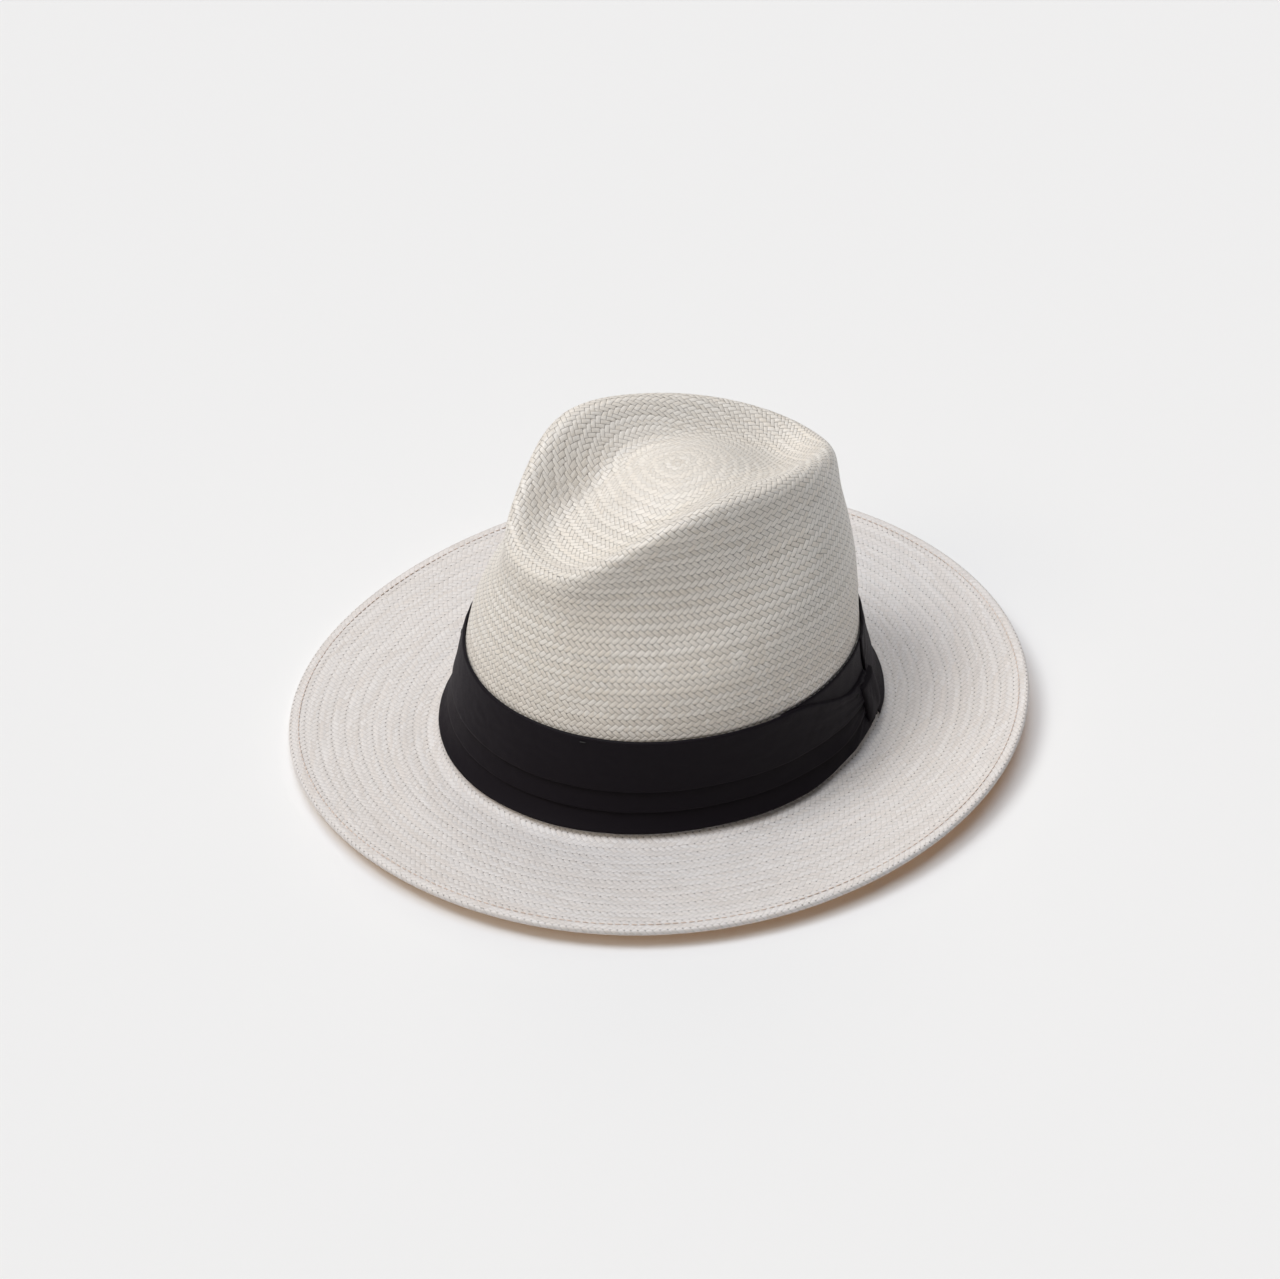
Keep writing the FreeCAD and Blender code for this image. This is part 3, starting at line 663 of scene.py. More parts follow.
BA, BB = straw_ab(BCc, BR, bt[None] + 0 * BR, 8)
bo = relief(bp, bn, BA, BB, 0.20)
# underside: plate below the brim, resting ring, then up inside the crown
ub = UNDER
uv = spaced(ub, 0.0, ub.shape[1] - 3.0, 1.25)
up_ = ring_b(ub, uv)
hem_in = bp[-1, :, :] * 0
start = None
hem_end = bp[-1]
d0 = np.linalg.norm((up_ - hem_end[None])[:, :, :2], axis=-1).mean(1)
first = int(np.argmin(d0))
up_ = up_[first:]
iv = spaced(INSIDE, 0.0, INSIDE.shape[1] - 3.0, 1.25)
ip = ring_b(INSIDE, iv)
zi = ip[..., 2].mean(1)
ip = ip[zi < 10.0]
bi_ = np.concatenate([up_, ip])
ui = np.roll(bi_, -1, 1) - np.roll(bi_, 1, 1)
un = unit(np.cross(np.gradient(bi_, axis=0), ui))
if un[len(up_) // 2, :, 2].mean() > 0:
    un = -un
# strand coordinates underneath, taken from the same place on top
uy = np.interp(np.linalg.norm(bi_[:, :, :2], axis=-1).mean(1), np.linalg.norm(bp[:len(top_rows), :, :2], axis=-1).mean(1), top_rows)
UC = brim.col(np.radians(bt)[None], np.interp(uy, brim.v, brim.Y)[:, None])
UR = brim.row_of(uy[:, None] + 0 * bt[None], bt[None] + 0 * uy[:, None])
UA, UB = straw_ab(UC, UR, bt[None] + 0 * UR, 8)
bi_ = bi_ + un * ((weave_height(UA, UB, True) - 0.62) * 0.16)[..., None]
BP = np.concatenate([bo, bi_])
BNN = grid_frame(np.concatenate([BP[-1:], BP, BP[:1]]), True)[1:-1]
if BNN[mid, :, 2].mean() < 0:
    BNN = -BNN
BAA = np.concatenate([BA, UA + 2])
BBB = np.concatenate([BB, UB])
for k in range(3):
    straw_pieces.append(shell_piece("straw_brim_%d" % (k + 1), BP, BNN, BAA, BBB, BC, 480 * k, 480 * (k + 1), BC))
print("straw rows", len(wall_v), BP.shape, [len(o.data.polygons) for o in straw_pieces])

for o in straw_pieces:
    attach(o, "root")
    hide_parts("woven_body")


# --- wall table for the pieces that lie on the crown ---------------------------------
class WallTable:
    def __init__(self, poles, lo, hi, outward=True):
        self.v = np.linspace(lo, hi, 420)
        self.poles = poles

    def points(self, t, z):
        """Points (len(t), len(z), 3); z may be (len(t), nz)."""
        p = sheet(self.poles, self.v, t)
        z = np.broadcast_to(z, (len(t), np.shape(z)[-1]))
        out = np.empty((len(t), z.shape[1], 3))
        for i in range(len(t)):
            zz = p[:, i, 2]
            o = np.argsort(zz)
            for ax in (0, 1):
                out[i, :, ax] = np.interp(z[i], zz[o], p[o, i, ax])
            out[i, :, 2] = z[i]
        return out


WOUT = WallTable(OUTER, 7.0, 15.9)
WIN = WallTable(INSIDE, 0.0, 11.0)


def ease(x, a, b):
    u = np.clip((x - a) / (b - a), 0.0, 1.0)
    return u * u * (3 - 2 * u)


def cloth(name, table, t, zl, zh, inner, outer, rows, closed=False, edge=0.5, shape=None, sign=1.0):
    """Closed sheet of cloth on the wall, with rounded long edges."""
    t = np.asarray(t, float)
    zl, zh = zl(t), zh(t)
    # rows evenly spaced across the cloth
    s = np.linspace(0, 1, rows)
    k = s
    H = (zh - zl)[:, None]
    kk = k[None] + 0 * H
    near = np.minimum(kk, 1 - kk) * H
    z = zl[:, None] + H * kk
    tt_ = t[:, None] + 0 * kk
    p = table.points(t, z)
    n = oval_normal(t)[:, None, :]
    a, b = inner(tt_, kk), outer(tt_, kk)
    rnd = np.sqrt(np.clip(1 - (1 - np.clip(near / edge, 0, 1)) ** 2, 0, 1))
    b = a + (b - a) * (0.12 + 0.88 * rnd)
    if shape is not None:
        d = shape(tt_, kk, z)
        b = b + d
        a = np.minimum(a + np.minimum(d, 0) * 0.6, b - 0.15)
    co_o = p + sign * n * b[..., None]
    co_i = p + sign * n * a[..., None]
    loop = np.concatenate([co_o, co_i[:, ::-1]], 1)          # (t, 2*rows)
    m = loop.shape[1]
    nt_ = len(t)
    r = np.arange(nt_ if closed else nt_ - 1)
    c = np.arange(m)
    i0 = r[:, None] * m + c[None]
    i1 = ((r[:, None] + 1) % nt_) * m + c[None]
    j0 = r[:, None] * m + (c[None] + 1) % m
    j1 = ((r[:, None] + 1) % nt_) * m + (c[None] + 1) % m
    quads = np.stack([i0, i1, j1, j0], -1).reshape(-1, 4)
    if sign < 0:
        quads = quads[:, ::-1]
    caps = [] if closed else [np.arange(m), np.arange(m)[::-1] + (nt_ - 1) * m]
    if sign < 0:
        caps = [c_[::-1] for c_ in caps]
    # cloth coordinates in millimetres: along and across
    per = np.concatenate([[0], np.cumsum(np.linalg.norm(np.diff(p[:, 0], axis=0), axis=-1))])
    uvw = np.stack([per[:, None] + 0 * kk, z], -1)
    uvw = np.concatenate([uvw, uvw[:, ::-1]], 1).reshape(-1, 2)
    ob = make_mesh(name, loop.reshape(-1, 3), quads, ngons=caps, point={"cloth": uvw})
    return ob


lap = lambda t: 0.9 * ease(t, 338.0, 360.0)
taper = lambda t: ease(t, 364.0, 360.0 + KNOT_T - 4.0)
top_edge = lambda t: BAND_TOP - 15.5 * taper(t)
bottom_edge = lambda t: BAND_BOTTOM + 3.0 * taper(t)
line_1 = lambda t: FOLD_1 - 2.0 * taper(t)
line_2 = lambda t: FOLD_2 + 1.2 * taper(t)
T0, T1 = KNOT_T + 4.6, 360.0 + KNOT_T + 3.4
run = np.linspace(T0, T1, 880)


def folds(seed, gain=1.0):
    """Wrinkles: slow waves everywhere, drag lines that fan out from the crossover."""
    def f(t, k, z):
        slow = noise2(t * 0.085 + 3, z * 0.10 + 5, seed, 3) * 0.34
        fine = noise2(t * 0.35 + 11, z * 0.30 + t * 0.05, seed + 7, 2) * 0.10
        d_end = np.clip((t - 352.0) / 48.0, 0, 1)
        d_start = np.clip((72.0 - t) / 26.0, 0, 1)
        pull = np.maximum(d_end, 0.8 * d_start)
        # lines that converge on the knot's height
        dist = np.where(t > 200, KNOT_T + 360 - t, t - KNOT_T) * 1.6 + 9.0
        slope = (z - 21.0) / dist
        drag = noise2(slope * 9.0 + 30, t * 0.02 + seed, seed + 3, 3) * 0.75 * pull ** 1.4
        return (slow + fine + drag) * gain
    return f


def soft_clip(f, lo, hi):
    return lambda t, k, z: np.clip(f(t, k, z), lo, hi)


band_top = cloth("band_fold_top_cloth", WOUT, run, line_1, top_edge,
                 lambda t, k: 0.8 + lap(t) + 1.2 * (1 - k), lambda t, k: 1.75 + lap(t) + 1.3 * (1 - k), 44,
                 edge=0.8, shape=soft_clip(folds(101), -0.55, 0.7))


def gap_shape(f):
    """Lower edge of the middle fold stands off where the pleat opens near the crossover."""
    def g(t, k, z):
        w = np.exp(-((t - 381.0) / 9.5) ** 2)
        return f(t, k, z) + 1.5 * w * (1 - k) ** 1.5
    return g


band_mid = cloth("band_fold_middle_cloth", WOUT, run, line_2, lambda t: line_1(t) + 3.0 - 1.2 * taper(t),
                 lambda t, k: 0.8 + lap(t) + 1.15 * (1 - k), lambda t, k: 1.45 + lap(t) + 1.35 * (1 - k), 26,
                 edge=0.7, shape=gap_shape(soft_clip(folds(140, 0.8), -0.4, 0.5)))
band_low = cloth("band_fold_bottom_cloth", WOUT, run, bottom_edge, lambda t: line_2(t) + 2.6 - 1.2 * taper(t),
                 lambda t, k: 0.8 + lap(t) + 1.2 * (1 - k), lambda t, k: 1.4 + lap(t) + 1.55 * (1 - k), 24,
                 edge=0.7, shape=soft_clip(folds(170, 0.7), -0.5, 0.35))
under_run = np.linspace(2.0, KNOT_T + 3.6, 100)
band_under = cloth("band_underlap_cloth", WOUT, under_run, lambda t: BAND_BOTTOM + 3.5 + 0 * t, lambda t: BAND_TOP + 0 * t,
                   lambda t, k: 0.78 + 0 * t, lambda t, k: 1.38 + 0 * t, 44, edge=0.5,
                   shape=lambda t, k, z: noise2(t * 0.2, z * 0.1, 190, 2) * 0.25 + 0.12)
k0, k1 = KNOT_T - 3.4, KNOT_T + 7.6


def loop_out(t, k):
    w = np.sin(np.pi * np.clip((t - k0) / (k1 - k0), 0, 1)) ** 0.5
    h = np.sin(np.pi * np.clip(k, 0, 1)) ** 0.5
    return 4.25 + 2.1 * w * h


band_loop = cloth("band_loop_cloth", WOUT, np.linspace(k0, k1, 60), lambda t: BAND_BOTTOM + 5.2 + 0 * t,
                  lambda t: BAND_BOTTOM + 24.0 + 0 * t, lambda t, k: 4.05 - 2.0 + 0 * t, loop_out, 40, edge=0.8,
                  shape=lambda t, k, z: 0.55 * np.sin((t - k0) / (k1 - k0) * 9.0 + 2.0 * k) * np.sin(np.pi * k)
                  + noise2(t * 0.5, z * 0.15, 210, 2) * 0.3)
for o, node, slot in ((band_top, "band_fold_top", "band_cloth"), (band_mid, "band_fold_middle", "band_cloth"),
                      (band_low, "band_fold_bottom", "band_cloth"), (band_under, "band_underlap", "band_cloth"),
                      (band_loop, "band_crossover_loop", "band_cloth")):
    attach(o, "root")
    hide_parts(node)


# --- stitches ----------------------------------------------------------------
def capsules(name, a, b, r, bulge=None, sides=6):
    """One mesh of many short rounded stitches from points a to points b (mm)."""
    a, b = np.asarray(a, float), np.asarray(b, float)
    d = unit(b - a)
    ref = np.where(np.abs(d[:, 2:]) > 0.9, [[1.0, 0, 0]], [[0, 0, 1.0]])
    x = unit(np.cross(d, ref))
    y = np.cross(d, x)
    L = np.linalg.norm(b - a, axis=-1, keepdims=True)
    stations_ = [(0.0, 0.35), (0.10, 0.8), (0.3, 1.0), (0.7, 1.0), (0.90, 0.8), (1.0, 0.35)]
    rings = []
    for s, k in stations_:
        c = a + (b - a) * s
        if bulge is not None:
            c = c + bulge * (np.sin(np.pi * s) - 0.6)
        for i in range(sides):
            w = 2 * np.pi * i / sides
            rings.append(c + (x * np.cos(w) + y * np.sin(w)) * r * k)
    pts = np.stack(rings, 1)                       # (n, 6*sides, 3)
    n, m = pts.shape[:2]
    base = []
    for j in range(len(stations_) - 1):
        for i in range(sides):
            i2 = (i + 1) % sides
            base.append([j * sides + i, j * sides + i2, (j + 1) * sides + i2, (j + 1) * sides + i])
    base = np.array(base)
    quads = (base[None] + (np.arange(n) * m)[:, None, None]).reshape(-1, 4)
    caps = []
    for k in range(n):
        caps.append(np.arange(sides)[::-1] + k * m)
        caps.append(np.arange(sides) + (len(stations_) - 1) * sides + k * m)
    return make_mesh(name, pts.reshape(-1, 3), quads, ngons=caps)


def edge_curve(tdeg, a, b):
    poles = (E0 + EO * a + EU * b)[:, None]
    return np.einsum("ts,sc->tc", per_weights(tdeg), poles[:, 0])


st = np.arange(0, 300) * 1.2
g_ = np.random.default_rng(5)
ja = g_.normal(0, 0.03, len(st))
hem_a = np.concatenate([edge_curve(st + ja, -HEM_STITCH_IN, 0.30), edge_curve(st + ja, -HEM_STITCH_IN - 0.6, -2.80)])
hem_b = np.concatenate([edge_curve(st + 0.86 + ja, -HEM_STITCH_IN + 0.12, 0.30), edge_curve(st + 0.86 + ja, -HEM_STITCH_IN - 0.5, -2.80)])
hem_st = capsules("hem_stitches", hem_a, hem_b, 0.21)
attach(hem_st, "root")
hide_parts("brim_hem_thread")


def sweat_pts(t, z, off):
    p = WIN.points(t, np.full((1,), z))[:, 0]
    return p - oval_normal(t) * off


ts = np.arange(0, 240) * 1.5
sa = np.concatenate([sweat_pts(ts, SWEAT_Z0 + 1.8, 1.30), sweat_pts(ts, SWEAT_Z1 - 1.8, 1.30)])
sb = np.concatenate([sweat_pts(ts + 1.05, SWEAT_Z0 + 1.8, 1.30), sweat_pts(ts + 1.05, SWEAT_Z1 - 1.8, 1.30)])
sw_st = capsules("sweatband_stitches", sa, sb, 0.2)
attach(sw_st, "root")
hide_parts("sweatband_thread")


# --- materials ------------------------------------------------------------------
def mat(name):
    m = bpy.data.materials.new(name)
    m.use_nodes = True
    nt = m.node_tree
    nt.nodes.clear()
    return m, nt


class G:
    """Small helper to write node maths."""

    def __init__(self, nt):
        self.nt = nt

    def val(self, x, sock):
        if isinstance(x, (int, float)):
            sock.default_value = x
        else:
            self.nt.links.new(x, sock)

    def m(self, op, a, b=0.0, c=0.0, clamp=False):
        n = self.nt.nodes.new("ShaderNodeMath")
        n.operation = op
        n.use_clamp = clamp
        self.val(a, n.inputs[0])
        self.val(b, n.inputs[1])
        self.val(c, n.inputs[2])
        return n.outputs[0]

    def mix(self, f, a, b):
        n = self.nt.nodes.new("ShaderNodeMix")
        n.data_type = "FLOAT"
        self.val(f, n.inputs[0])
        self.val(a, n.inputs[2])
        self.val(b, n.inputs[3])
        return n.outputs[0]

    def col(self, f, a, b, mode="MIX"):
        n = self.nt.nodes.new("ShaderNodeMix")
        n.data_type = "RGBA"
        n.blend_type = mode
        self.val(f, n.inputs[0])
        for x, s in ((a, n.inputs[6]), (b, n.inputs[7])):
            if isinstance(x, tuple):
                s.default_value = (*x, 1.0)
            else:
                self.nt.links.new(x, s)
        return n.outputs[2]

    def ramp(self, x, lo, hi):
        n = self.nt.nodes.new("ShaderNodeMapRange")
        n.interpolation_type = "SMOOTHSTEP"
        n.clamp = True
        self.val(x, n.inputs[0])
        self.val(lo, n.inputs[1])
        self.val(hi, n.inputs[2])
        return n.outputs[0]

    def xyz(self, x, y, z=0.0):
        n = self.nt.nodes.new("ShaderNodeCombineXYZ")
        self.val(x, n.inputs[0])
        self.val(y, n.inputs[1])
        self.val(z, n.inputs[2])
        return n.outputs[0]

    def white(self, v):
        n = self.nt.nodes.new("ShaderNodeTexWhiteNoise")
        n.noise_dimensions = "3D"
        self.nt.links.new(v, n.inputs[0])
        return n.outputs[0], n.outputs[1]

    def noise(self, v, scale, detail=2.0, rough=0.5):
        n = self.nt.nodes.new("ShaderNodeTexNoise")
        n.noise_dimensions = "3D"
        self.nt.links.new(v, n.inputs["Vector"])
        n.inputs["Scale"].default_value = scale
        n.inputs["Detail"].default_value = detail
        n.inputs["Roughness"].default_value = rough
        return n.outputs[0]


def lin(r, g, b):
    f = lambda c: (c / 255 / 12.92) if c <= 10 else ((c / 255 + 0.055) / 1.055) ** 2.4
    return (f(r), f(g), f(b))


def straw_material(name, gap_a, gap_b, end_shade_a, end_shade_b, dot_k, b_strand_shade, bump, strength, rough,
                   pale, cool):
    m, nt = mat(name)
    g = G(nt)
    at = nt.nodes.new("ShaderNodeAttribute")
    at.attribute_name = "weave"
    sep = nt.nodes.new("ShaderNodeSeparateXYZ")
    nt.links.new(at.outputs["Vector"], sep.inputs[0])
    A, B = sep.outputs[0], sep.outputs[1]
    i, j = g.m("FLOOR", A), g.m("FLOOR", B)
    fa, fb = g.m("SUBTRACT", A, i), g.m("SUBTRACT", B, j)
    d = g.m("FLOORED_MODULO", g.m("SUBTRACT", i, j), 4.0)
    top = g.m("LESS_THAN", d, 1.5)
    across = g.mix(top, fb, fa)
    t_a = g.m("SUBTRACT", g.m("ADD", fb, 1.0), d)
    t_b = g.m("ADD", fa, g.m("SUBTRACT", d, 2.0))
    t = g.mix(top, t_b, t_a)
    sid = g.mix(top, g.m("ADD", j, 0.37), i)
    cell = g.xyz(sid, g.m("MULTIPLY", top, 7.0), 1.5)
    wn, wc = g.white(cell)
    fl_id = g.m("FLOOR", g.m("DIVIDE", g.m("ADD", g.mix(top, A, B), 0.0), 2.0))
    cell2 = g.xyz(sid, g.mix(top, i, j), g.m("ADD", fl_id, 3.3))
    wn2, _ = g.white(cell2)
    e = g.m("ABSOLUTE", g.m("SUBTRACT", g.m("MULTIPLY", across, 2.0), 1.0))
    u = g.m("ABSOLUTE", g.m("SUBTRACT", t, 1.0))
    gap = g.m("MULTIPLY", g.ramp(e, g.mix(top, 0.76, 0.86), 1.0), g.mix(top, gap_b, gap_a))
    # painted shade: each float darkens towards its ends, where it dives under the crossing strand; drawn in the same
    # dark brown as the gaps and holes
    end = g.m("MULTIPLY", g.ramp(u, g.mix(top, 0.84, 0.90), 1.0), g.mix(top, end_shade_b, end_shade_a))
    gap = g.m("MULTIPLY", gap, g.m("ADD", 0.35, g.m("MULTIPLY", g.white(g.xyz(sid, g.m("ADD", fl_id, 9.1), top))[0], 0.65)))
    dark = g.m("MAXIMUM", gap, end)
    # a small hole at one corner of a float, more open at some than at others
    dot = g.m("MULTIPLY", g.ramp(across, 0.58, 0.92), g.ramp(g.m("MULTIPLY", t, -1.0), -0.42, -0.10))
    dot = g.m("MULTIPLY", dot, g.m("MULTIPLY", top, g.m("ADD", 0.35, g.m("MULTIPLY", wn2, 0.65))))
    dark = g.m("MAXIMUM", dark, g.m("MULTIPLY", dot, dot_k))
    # the floor of the dent is pressed smoother than the rest
    tex = nt.nodes.new("ShaderNodeTexCoord")
    pos = nt.nodes.new("ShaderNodeSeparateXYZ")
    nt.links.new(tex.outputs["Object"], pos.inputs[0])
    px = g.m("DIVIDE", g.m("SUBTRACT", pos.outputs[0], CENTRE[0] / 1000), 0.036)
    py = g.m("DIVIDE", g.m("SUBTRACT", pos.outputs[1], CENTRE[1] / 1000), 0.050)
    far = g.m("SQRT", g.m("ADD", g.m("MULTIPLY", px, px), g.m("MULTIPLY", py, py)))
    dark = g.m("MULTIPLY", dark, g.m("ADD", 0.30, g.m("MULTIPLY", g.ramp(far, 0.30, 1.05), 0.70)))
    # fibres along the strand
    fib = g.noise(g.xyz(g.m("MULTIPLY", across, 9.0), g.m("MULTIPLY", g.mix(top, A, B), 0.55), sid), 1.0, 2.0, 0.6)
    tone = g.m("ADD", 0.94, g.m("MULTIPLY", wn, 0.11))
    # each float's brightness varies at random: partly the straw's own tone, partly painted glints that differ from
    # float to float
    tone = g.m("ADD", tone, g.m("MULTIPLY", g.m("SUBTRACT", wn2, 0.5), 0.11))
    tone = g.m("ADD", tone, g.m("MULTIPLY", g.m("SUBTRACT", fib, 0.5), 0.14))
    # painted shade: the floats of the B strands are toned darker than the A floats, standing in for how the light
    # falls on floats that run the other way
    tone = g.m("MULTIPLY", tone, g.mix(top, b_strand_shade, 1.0))
    base = g.col(wn, lin(*pale), lin(*cool))
    toned = nt.nodes.new("ShaderNodeVectorMath")
    toned.operation = "SCALE"
    nt.links.new(base, toned.inputs[0])
    nt.links.new(tone, toned.inputs[3])
    c = g.col(dark, toned.outputs[0], lin(58, 45, 33))
    h = g.m("MULTIPLY", g.m("SUBTRACT", 1.0, g.m("MULTIPLY", g.m("POWER", e, 3.0), 0.55)),
            g.m("SUBTRACT", 1.0, g.m("MULTIPLY", g.m("POWER", u, 4.0), 0.75)))
    h = g.m("ADD", h, g.m("MULTIPLY", fib, 0.16))
    bmp = nt.nodes.new("ShaderNodeBump")
    bmp.inputs["Strength"].default_value = strength
    bmp.inputs["Distance"].default_value = bump
    nt.links.new(h, bmp.inputs["Height"])
    p = nt.nodes.new("ShaderNodeBsdfPrincipled")
    nt.links.new(c, p.inputs["Base Color"])
    p.inputs["Roughness"].default_value = rough
    p.inputs["Specular IOR Level"].default_value = 0.5
    nt.links.new(bmp.outputs[0], p.inputs["Normal"])
    tr = nt.nodes.new("ShaderNodeBsdfTransparent")
    tr.inputs[0].default_value = (0.37, 0.26, 0.14, 1)
    lp = nt.nodes.new("ShaderNodeLightPath")
    mx = nt.nodes.new("ShaderNodeMixShader")
    nt.links.new(lp.outputs["Is Shadow Ray"], mx.inputs[0])
    nt.links.new(p.outputs[0], mx.inputs[1])
    nt.links.new(tr.outputs[0], mx.inputs[2])
    out = nt.nodes.new("ShaderNodeOutputMaterial")
    nt.links.new(mx.outputs[0], out.inputs[0])
    return m


def cloth_material(name, colour, rough, pitch, bump, sheen, attr="cloth", tint=None, vary=0.12, object_coords=False):
    """Plain-woven cloth; pitch in millimetres."""
    m, nt = mat(name)
    g = G(nt)
    if object_coords:
        tc = nt.nodes.new("ShaderNodeTexCoord")
        sep = nt.nodes.new("ShaderNodeSeparateXYZ")
        nt.links.new(tc.outputs["Object"], sep.inputs[0])
        ang = g.m("MULTIPLY", g.m("ARCTAN2", sep.outputs[1], sep.outputs[0]), 92.0)
        X, Y = ang, g.m("MULTIPLY", sep.outputs[2], 1000.0)
    else:
        at = nt.nodes.new("ShaderNodeAttribute")
        at.attribute_name = attr
        sep = nt.nodes.new("ShaderNodeSeparateXYZ")
        nt.links.new(at.outputs["Vector"], sep.inputs[0])
        X, Y = sep.outputs[0], sep.outputs[1]
    k = math.pi / pitch
    wx = g.m("SINE", g.m("MULTIPLY", X, k))
    wy = g.m("SINE", g.m("MULTIPLY", Y, k))
    weave = g.m("MULTIPLY", wx, wy)
    rough_n = g.noise(g.xyz(g.m("MULTIPLY", X, 0.9), g.m("MULTIPLY", Y, 2.6)), 1.0, 3.0, 0.6)
    slub = g.noise(g.xyz(g.m("MULTIPLY", X, 0.05), g.m("MULTIPLY", Y, 1.1), 4.0), 1.0, 2.0, 0.6)
    tone = g.m("ADD", 1.0 - vary, g.m("MULTIPLY", g.m("ADD", g.m("MULTIPLY", rough_n, 0.6), g.m("MULTIPLY", slub, 0.4)), 2 * vary))
    tone = g.m("MULTIPLY", tone, g.m("ADD", 1.0, g.m("MULTIPLY", weave, 0.10)))
    toned = nt.nodes.new("ShaderNodeVectorMath")
    toned.operation = "SCALE"
    toned.inputs[0].default_value = colour
    nt.links.new(tone, toned.inputs[3])
    h = g.m("ADD", g.m("MULTIPLY", g.m("ABSOLUTE", weave), 1.0), g.m("MULTIPLY", rough_n, 0.8))
    bmp = nt.nodes.new("ShaderNodeBump")
    bmp.inputs["Strength"].default_value = 0.5
    bmp.inputs["Distance"].default_value = bump
    nt.links.new(h, bmp.inputs["Height"])
    p = nt.nodes.new("ShaderNodeBsdfPrincipled")
    nt.links.new(toned.outputs[0], p.inputs["Base Color"])
    p.inputs["Roughness"].default_value = rough
    p.inputs["Specular IOR Level"].default_value = 0.16
    p.inputs["Sheen Weight"].default_value = sheen
    p.inputs["Sheen Roughness"].default_value = 0.5
    if tint:
        p.inputs["Sheen Tint"].default_value = (*tint, 1)
    nt.links.new(bmp.outputs[0], p.inputs["Normal"])
    out = nt.nodes.new("ShaderNodeOutputMaterial")
    nt.links.new(p.outputs[0], out.inputs[0])
    return m


def plain(name, colour, rough=0.6, metal=0.0, streak=None):
    m, nt = mat(name)
    g = G(nt)
    tc = nt.nodes.new("ShaderNodeTexCoord")
    n = g.noise(tc.outputs["Object"], streak or 900.0, 2.0, 0.6)
    c = g.col(n, tuple(x * 0.86 for x in colour), tuple(min(x * 1.12, 1) for x in colour))
    bmp = nt.nodes.new("ShaderNodeBump")
    bmp.inputs["Strength"].default_value = 0.35
    bmp.inputs["Distance"].default_value = 0.0001
    nt.links.new(n, bmp.inputs["Height"])
    p = nt.nodes.new("ShaderNodeBsdfPrincipled")
    nt.links.new(c, p.inputs["Base Color"])
    p.inputs["Roughness"].default_value = rough
    p.inputs["Metallic"].default_value = metal
    nt.links.new(bmp.outputs[0], p.inputs["Normal"])
    out = nt.nodes.new("ShaderNodeOutputMaterial")
    nt.links.new(p.outputs[0], out.inputs[0])
    return m


def put(ob, m):
    ob.data.materials.clear()
    ob.data.materials.append(m)


STRAW = straw_material("straw_weave", 0.88, 0.82, 0.62, 0.72, 1.0, 0.945, 0.00026, 0.6, 0.38, (237, 229, 218), (234, 229, 222))
STRAW_BRIM = straw_material("straw_weave_brim", 0.30, 0.34, 0.22, 0.28, 1.0, 0.985, 0.00022, 0.45, 0.45, (226, 219, 214), (221, 217, 215))
BLACK = cloth_material("band_black", (0.0050, 0.0030, 0.0055), 0.66, 0.42, 0.00008, 0.035, tint=(0.9, 0.8, 0.95))
TAPE = cloth_material("band_tape_black", (0.016, 0.014, 0.016), 0.8, 0.7, 0.0001, 0.05, object_coords=True)
SWEAT = cloth_material("sweat_twill", (0.60, 0.555, 0.47), 0.8, 0.55, 0.00012, 0.15, object_coords=True, vary=0.08)
JOIN = cloth_material("join_tape", (0.50, 0.46, 0.39), 0.85, 0.8, 0.00015, 0.1, object_coords=True)
LABEL = cloth_material("label_cloth", (0.78, 0.76, 0.72), 0.55, 0.3, 0.00006, 0.1, object_coords=True, vary=0.05)
THREAD = plain("straw_thread", lin(224, 206, 193), 0.6)
SWTHREAD = plain("sweat_thread", (0.66, 0.62, 0.54), 0.6)
BTHREAD = plain("band_thread", (0.012, 0.012, 0.012), 0.6)
WIRE = plain("edge_wire", (0.55, 0.55, 0.56), 0.35, 1.0)
SLEEVE = plain("edge_sleeve", (0.62, 0.62, 0.64), 0.4, 1.0)
CORD = plain("sweat_cord", (0.62, 0.58, 0.50), 0.7, 0.0, 700.0)
for o in straw_pieces:
    put(o, STRAW_BRIM if "brim" in o.name else STRAW)
for o in (band_top, band_mid, band_low, band_under, band_loop):
    put(o, BLACK)
put(hem_st, THREAD)
put(sw_st, SWTHREAD)
for node, m, slot in (("brim_wire", WIRE, "edge_wire"), ("brim_wire_sleeve", SLEEVE, "edge_sleeve"),
                      ("band_backing_tape", TAPE, "band_tape"), ("band_tack_stitches", BTHREAD, "band_thread"),
                      ("sweatband", SWEAT, "sweat_cloth"), ("sweatband_cord", CORD, "sweat_cord"),
                      ("sweatband_join_tab", JOIN, "join_tape"), ("size_label", LABEL, "label_cloth")):
    put(T[node], m)

# --- stage -----------------------------------------------------------------------
bpy.ops.mesh.primitive_plane_add(size=40.0, location=(0, 0, -0.0002))
floor = bpy.context.object
floor.name = "floor"
fm, fnt = mat("floor")
fp = fnt.nodes.new("ShaderNodeBsdfPrincipled")
fp.inputs["Base Color"].default_value = (*lin(239, 239, 239), 1)
fp.inputs["Roughness"].default_value = 0.9
fp.inputs["Specular IOR Level"].default_value = 0.0
fo = fnt.nodes.new("ShaderNodeOutputMaterial")
fnt.links.new(fp.outputs[0], fo.inputs[0])
floor.data.materials.append(fm)

world = bpy.data.worlds.new("world")
bpy.context.scene.world = world
world.use_nodes = True
bg = world.node_tree.nodes["Background"]
bg.inputs[0].default_value = (1, 1, 1, 1)
bg.inputs[1].default_value = 0.012
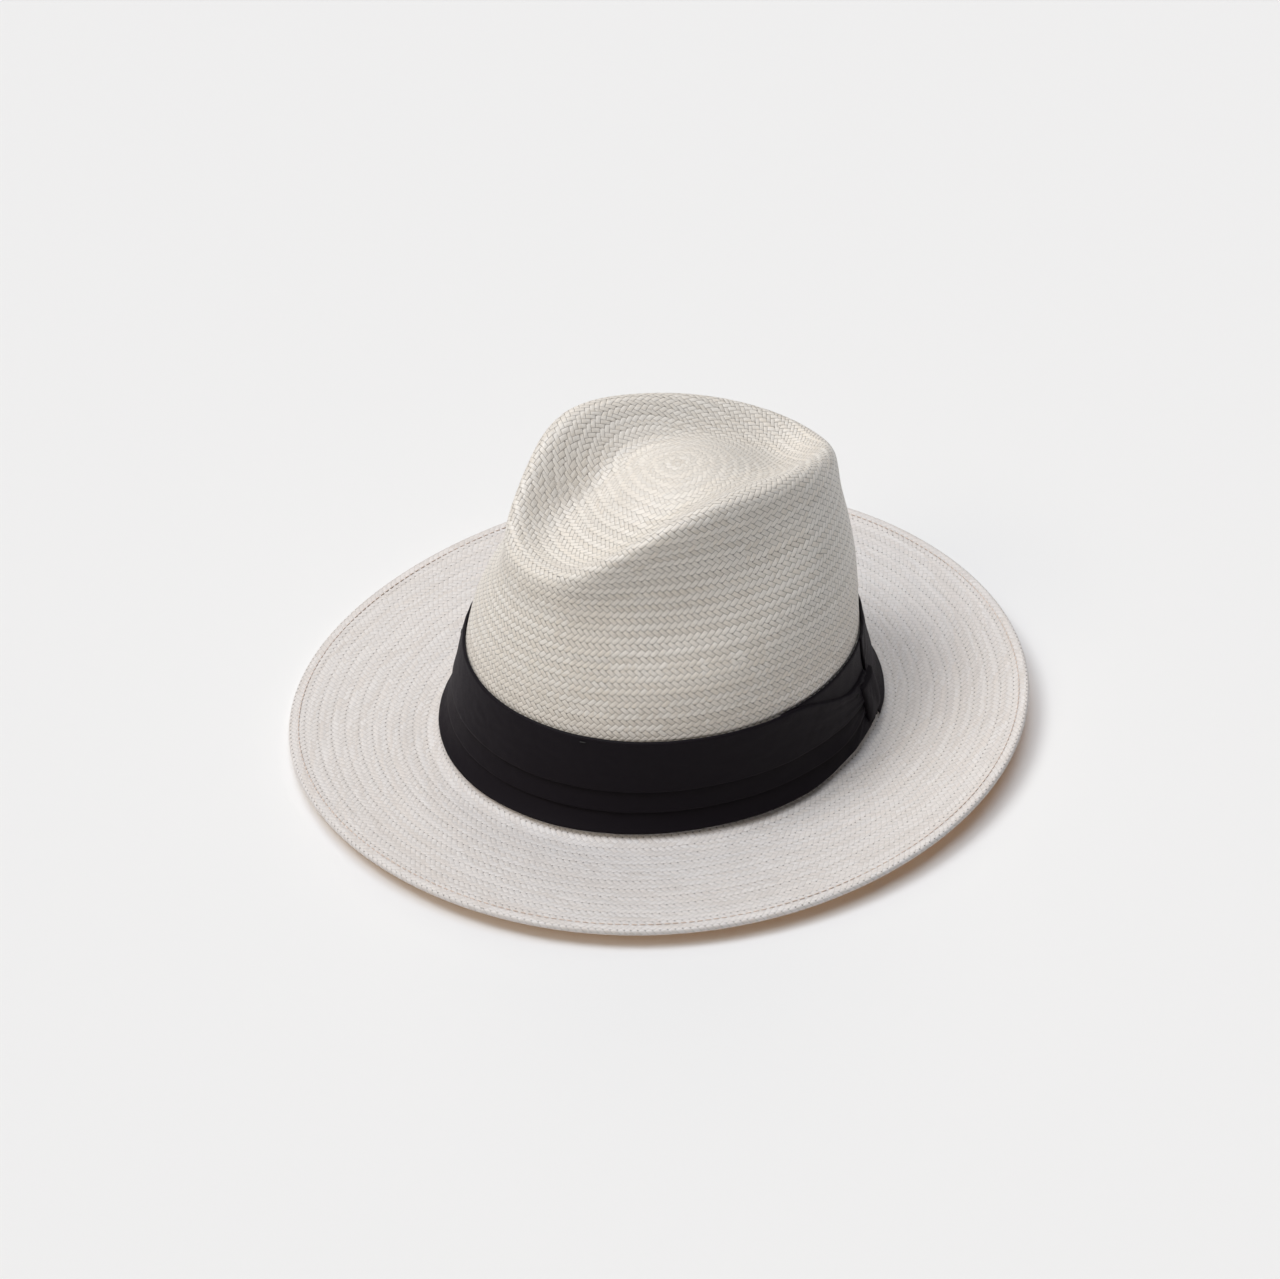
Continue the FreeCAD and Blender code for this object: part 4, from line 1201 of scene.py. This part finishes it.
# past the floor's end the camera sees the same pale ground, which lights nothing
wt = world.node_tree
seen = wt.nodes.new("ShaderNodeBackground")
seen.inputs[0].default_value = (*lin(238, 238, 238), 1)
ray = wt.nodes.new("ShaderNodeLightPath")
both = wt.nodes.new("ShaderNodeMixShader")
wt.links.new(ray.outputs["Is Camera Ray"], both.inputs[0])
wt.links.new(bg.outputs[0], both.inputs[1])
wt.links.new(seen.outputs[0], both.inputs[2])
wt.links.new(both.outputs[0], wt.nodes["World Output"].inputs[0])

AZ, EL, DIST = 55.0, 37.9, 1.391
ca, sa_, ce, se = math.cos(math.radians(AZ)), math.sin(math.radians(AZ)), math.cos(math.radians(EL)), math.sin(math.radians(EL))
right = Vector((ca, sa_, 0))
away = Vector((-sa_, ca, 0))
# soft overhead light, key from the left, two weak warm fills: elevation, turn from image right, strength, width
for name, el, turn, power, width, colour in (
        ("overhead", 86.0, 180.0, 1.42, 46.0, (1.0, 1.05, 1.13)),
        ("key", 58.0, 180.0, 1.10, 22.0, (1.0, 1.0, 1.0)),
        ("fill_front", 45.0, 220.0, 0.57, 30.0, (1.0, 0.87, 0.70)),
        ("fill_back", 44.0, 92.0, 0.51, 40.0, (1.0, 0.90, 0.76))):
    sun = bpy.data.lights.new(name, "SUN")
    sun.energy = power
    sun.angle = math.radians(width)
    sun.color = colour
    so = bpy.data.objects.new(name, sun)
    bpy.context.scene.collection.objects.link(so)
    er, tr_ = math.radians(el), math.radians(turn)
    d = (right * math.cos(tr_) + away * math.sin(tr_)) * math.cos(er) + Vector((0, 0, math.sin(er)))
    so.rotation_euler = d.to_track_quat("Z", "Y").to_euler()

cam = bpy.data.cameras.new("camera")
cam.lens = 86.8
cam.sensor_width = 36.0
cam.sensor_fit = "HORIZONTAL"
cam.shift_x = -0.01793
cam.shift_y = 0.05156
co_ = bpy.data.objects.new("camera", cam)
bpy.context.scene.collection.objects.link(co_)
pos = Vector((ce * sa_, -ce * ca, se)) * DIST
co_.location = pos
co_.rotation_euler = (-pos).to_track_quat("-Z", "Y").to_euler()
bpy.context.scene.camera = co_
bpy.context.scene.view_settings.view_transform = "Standard"
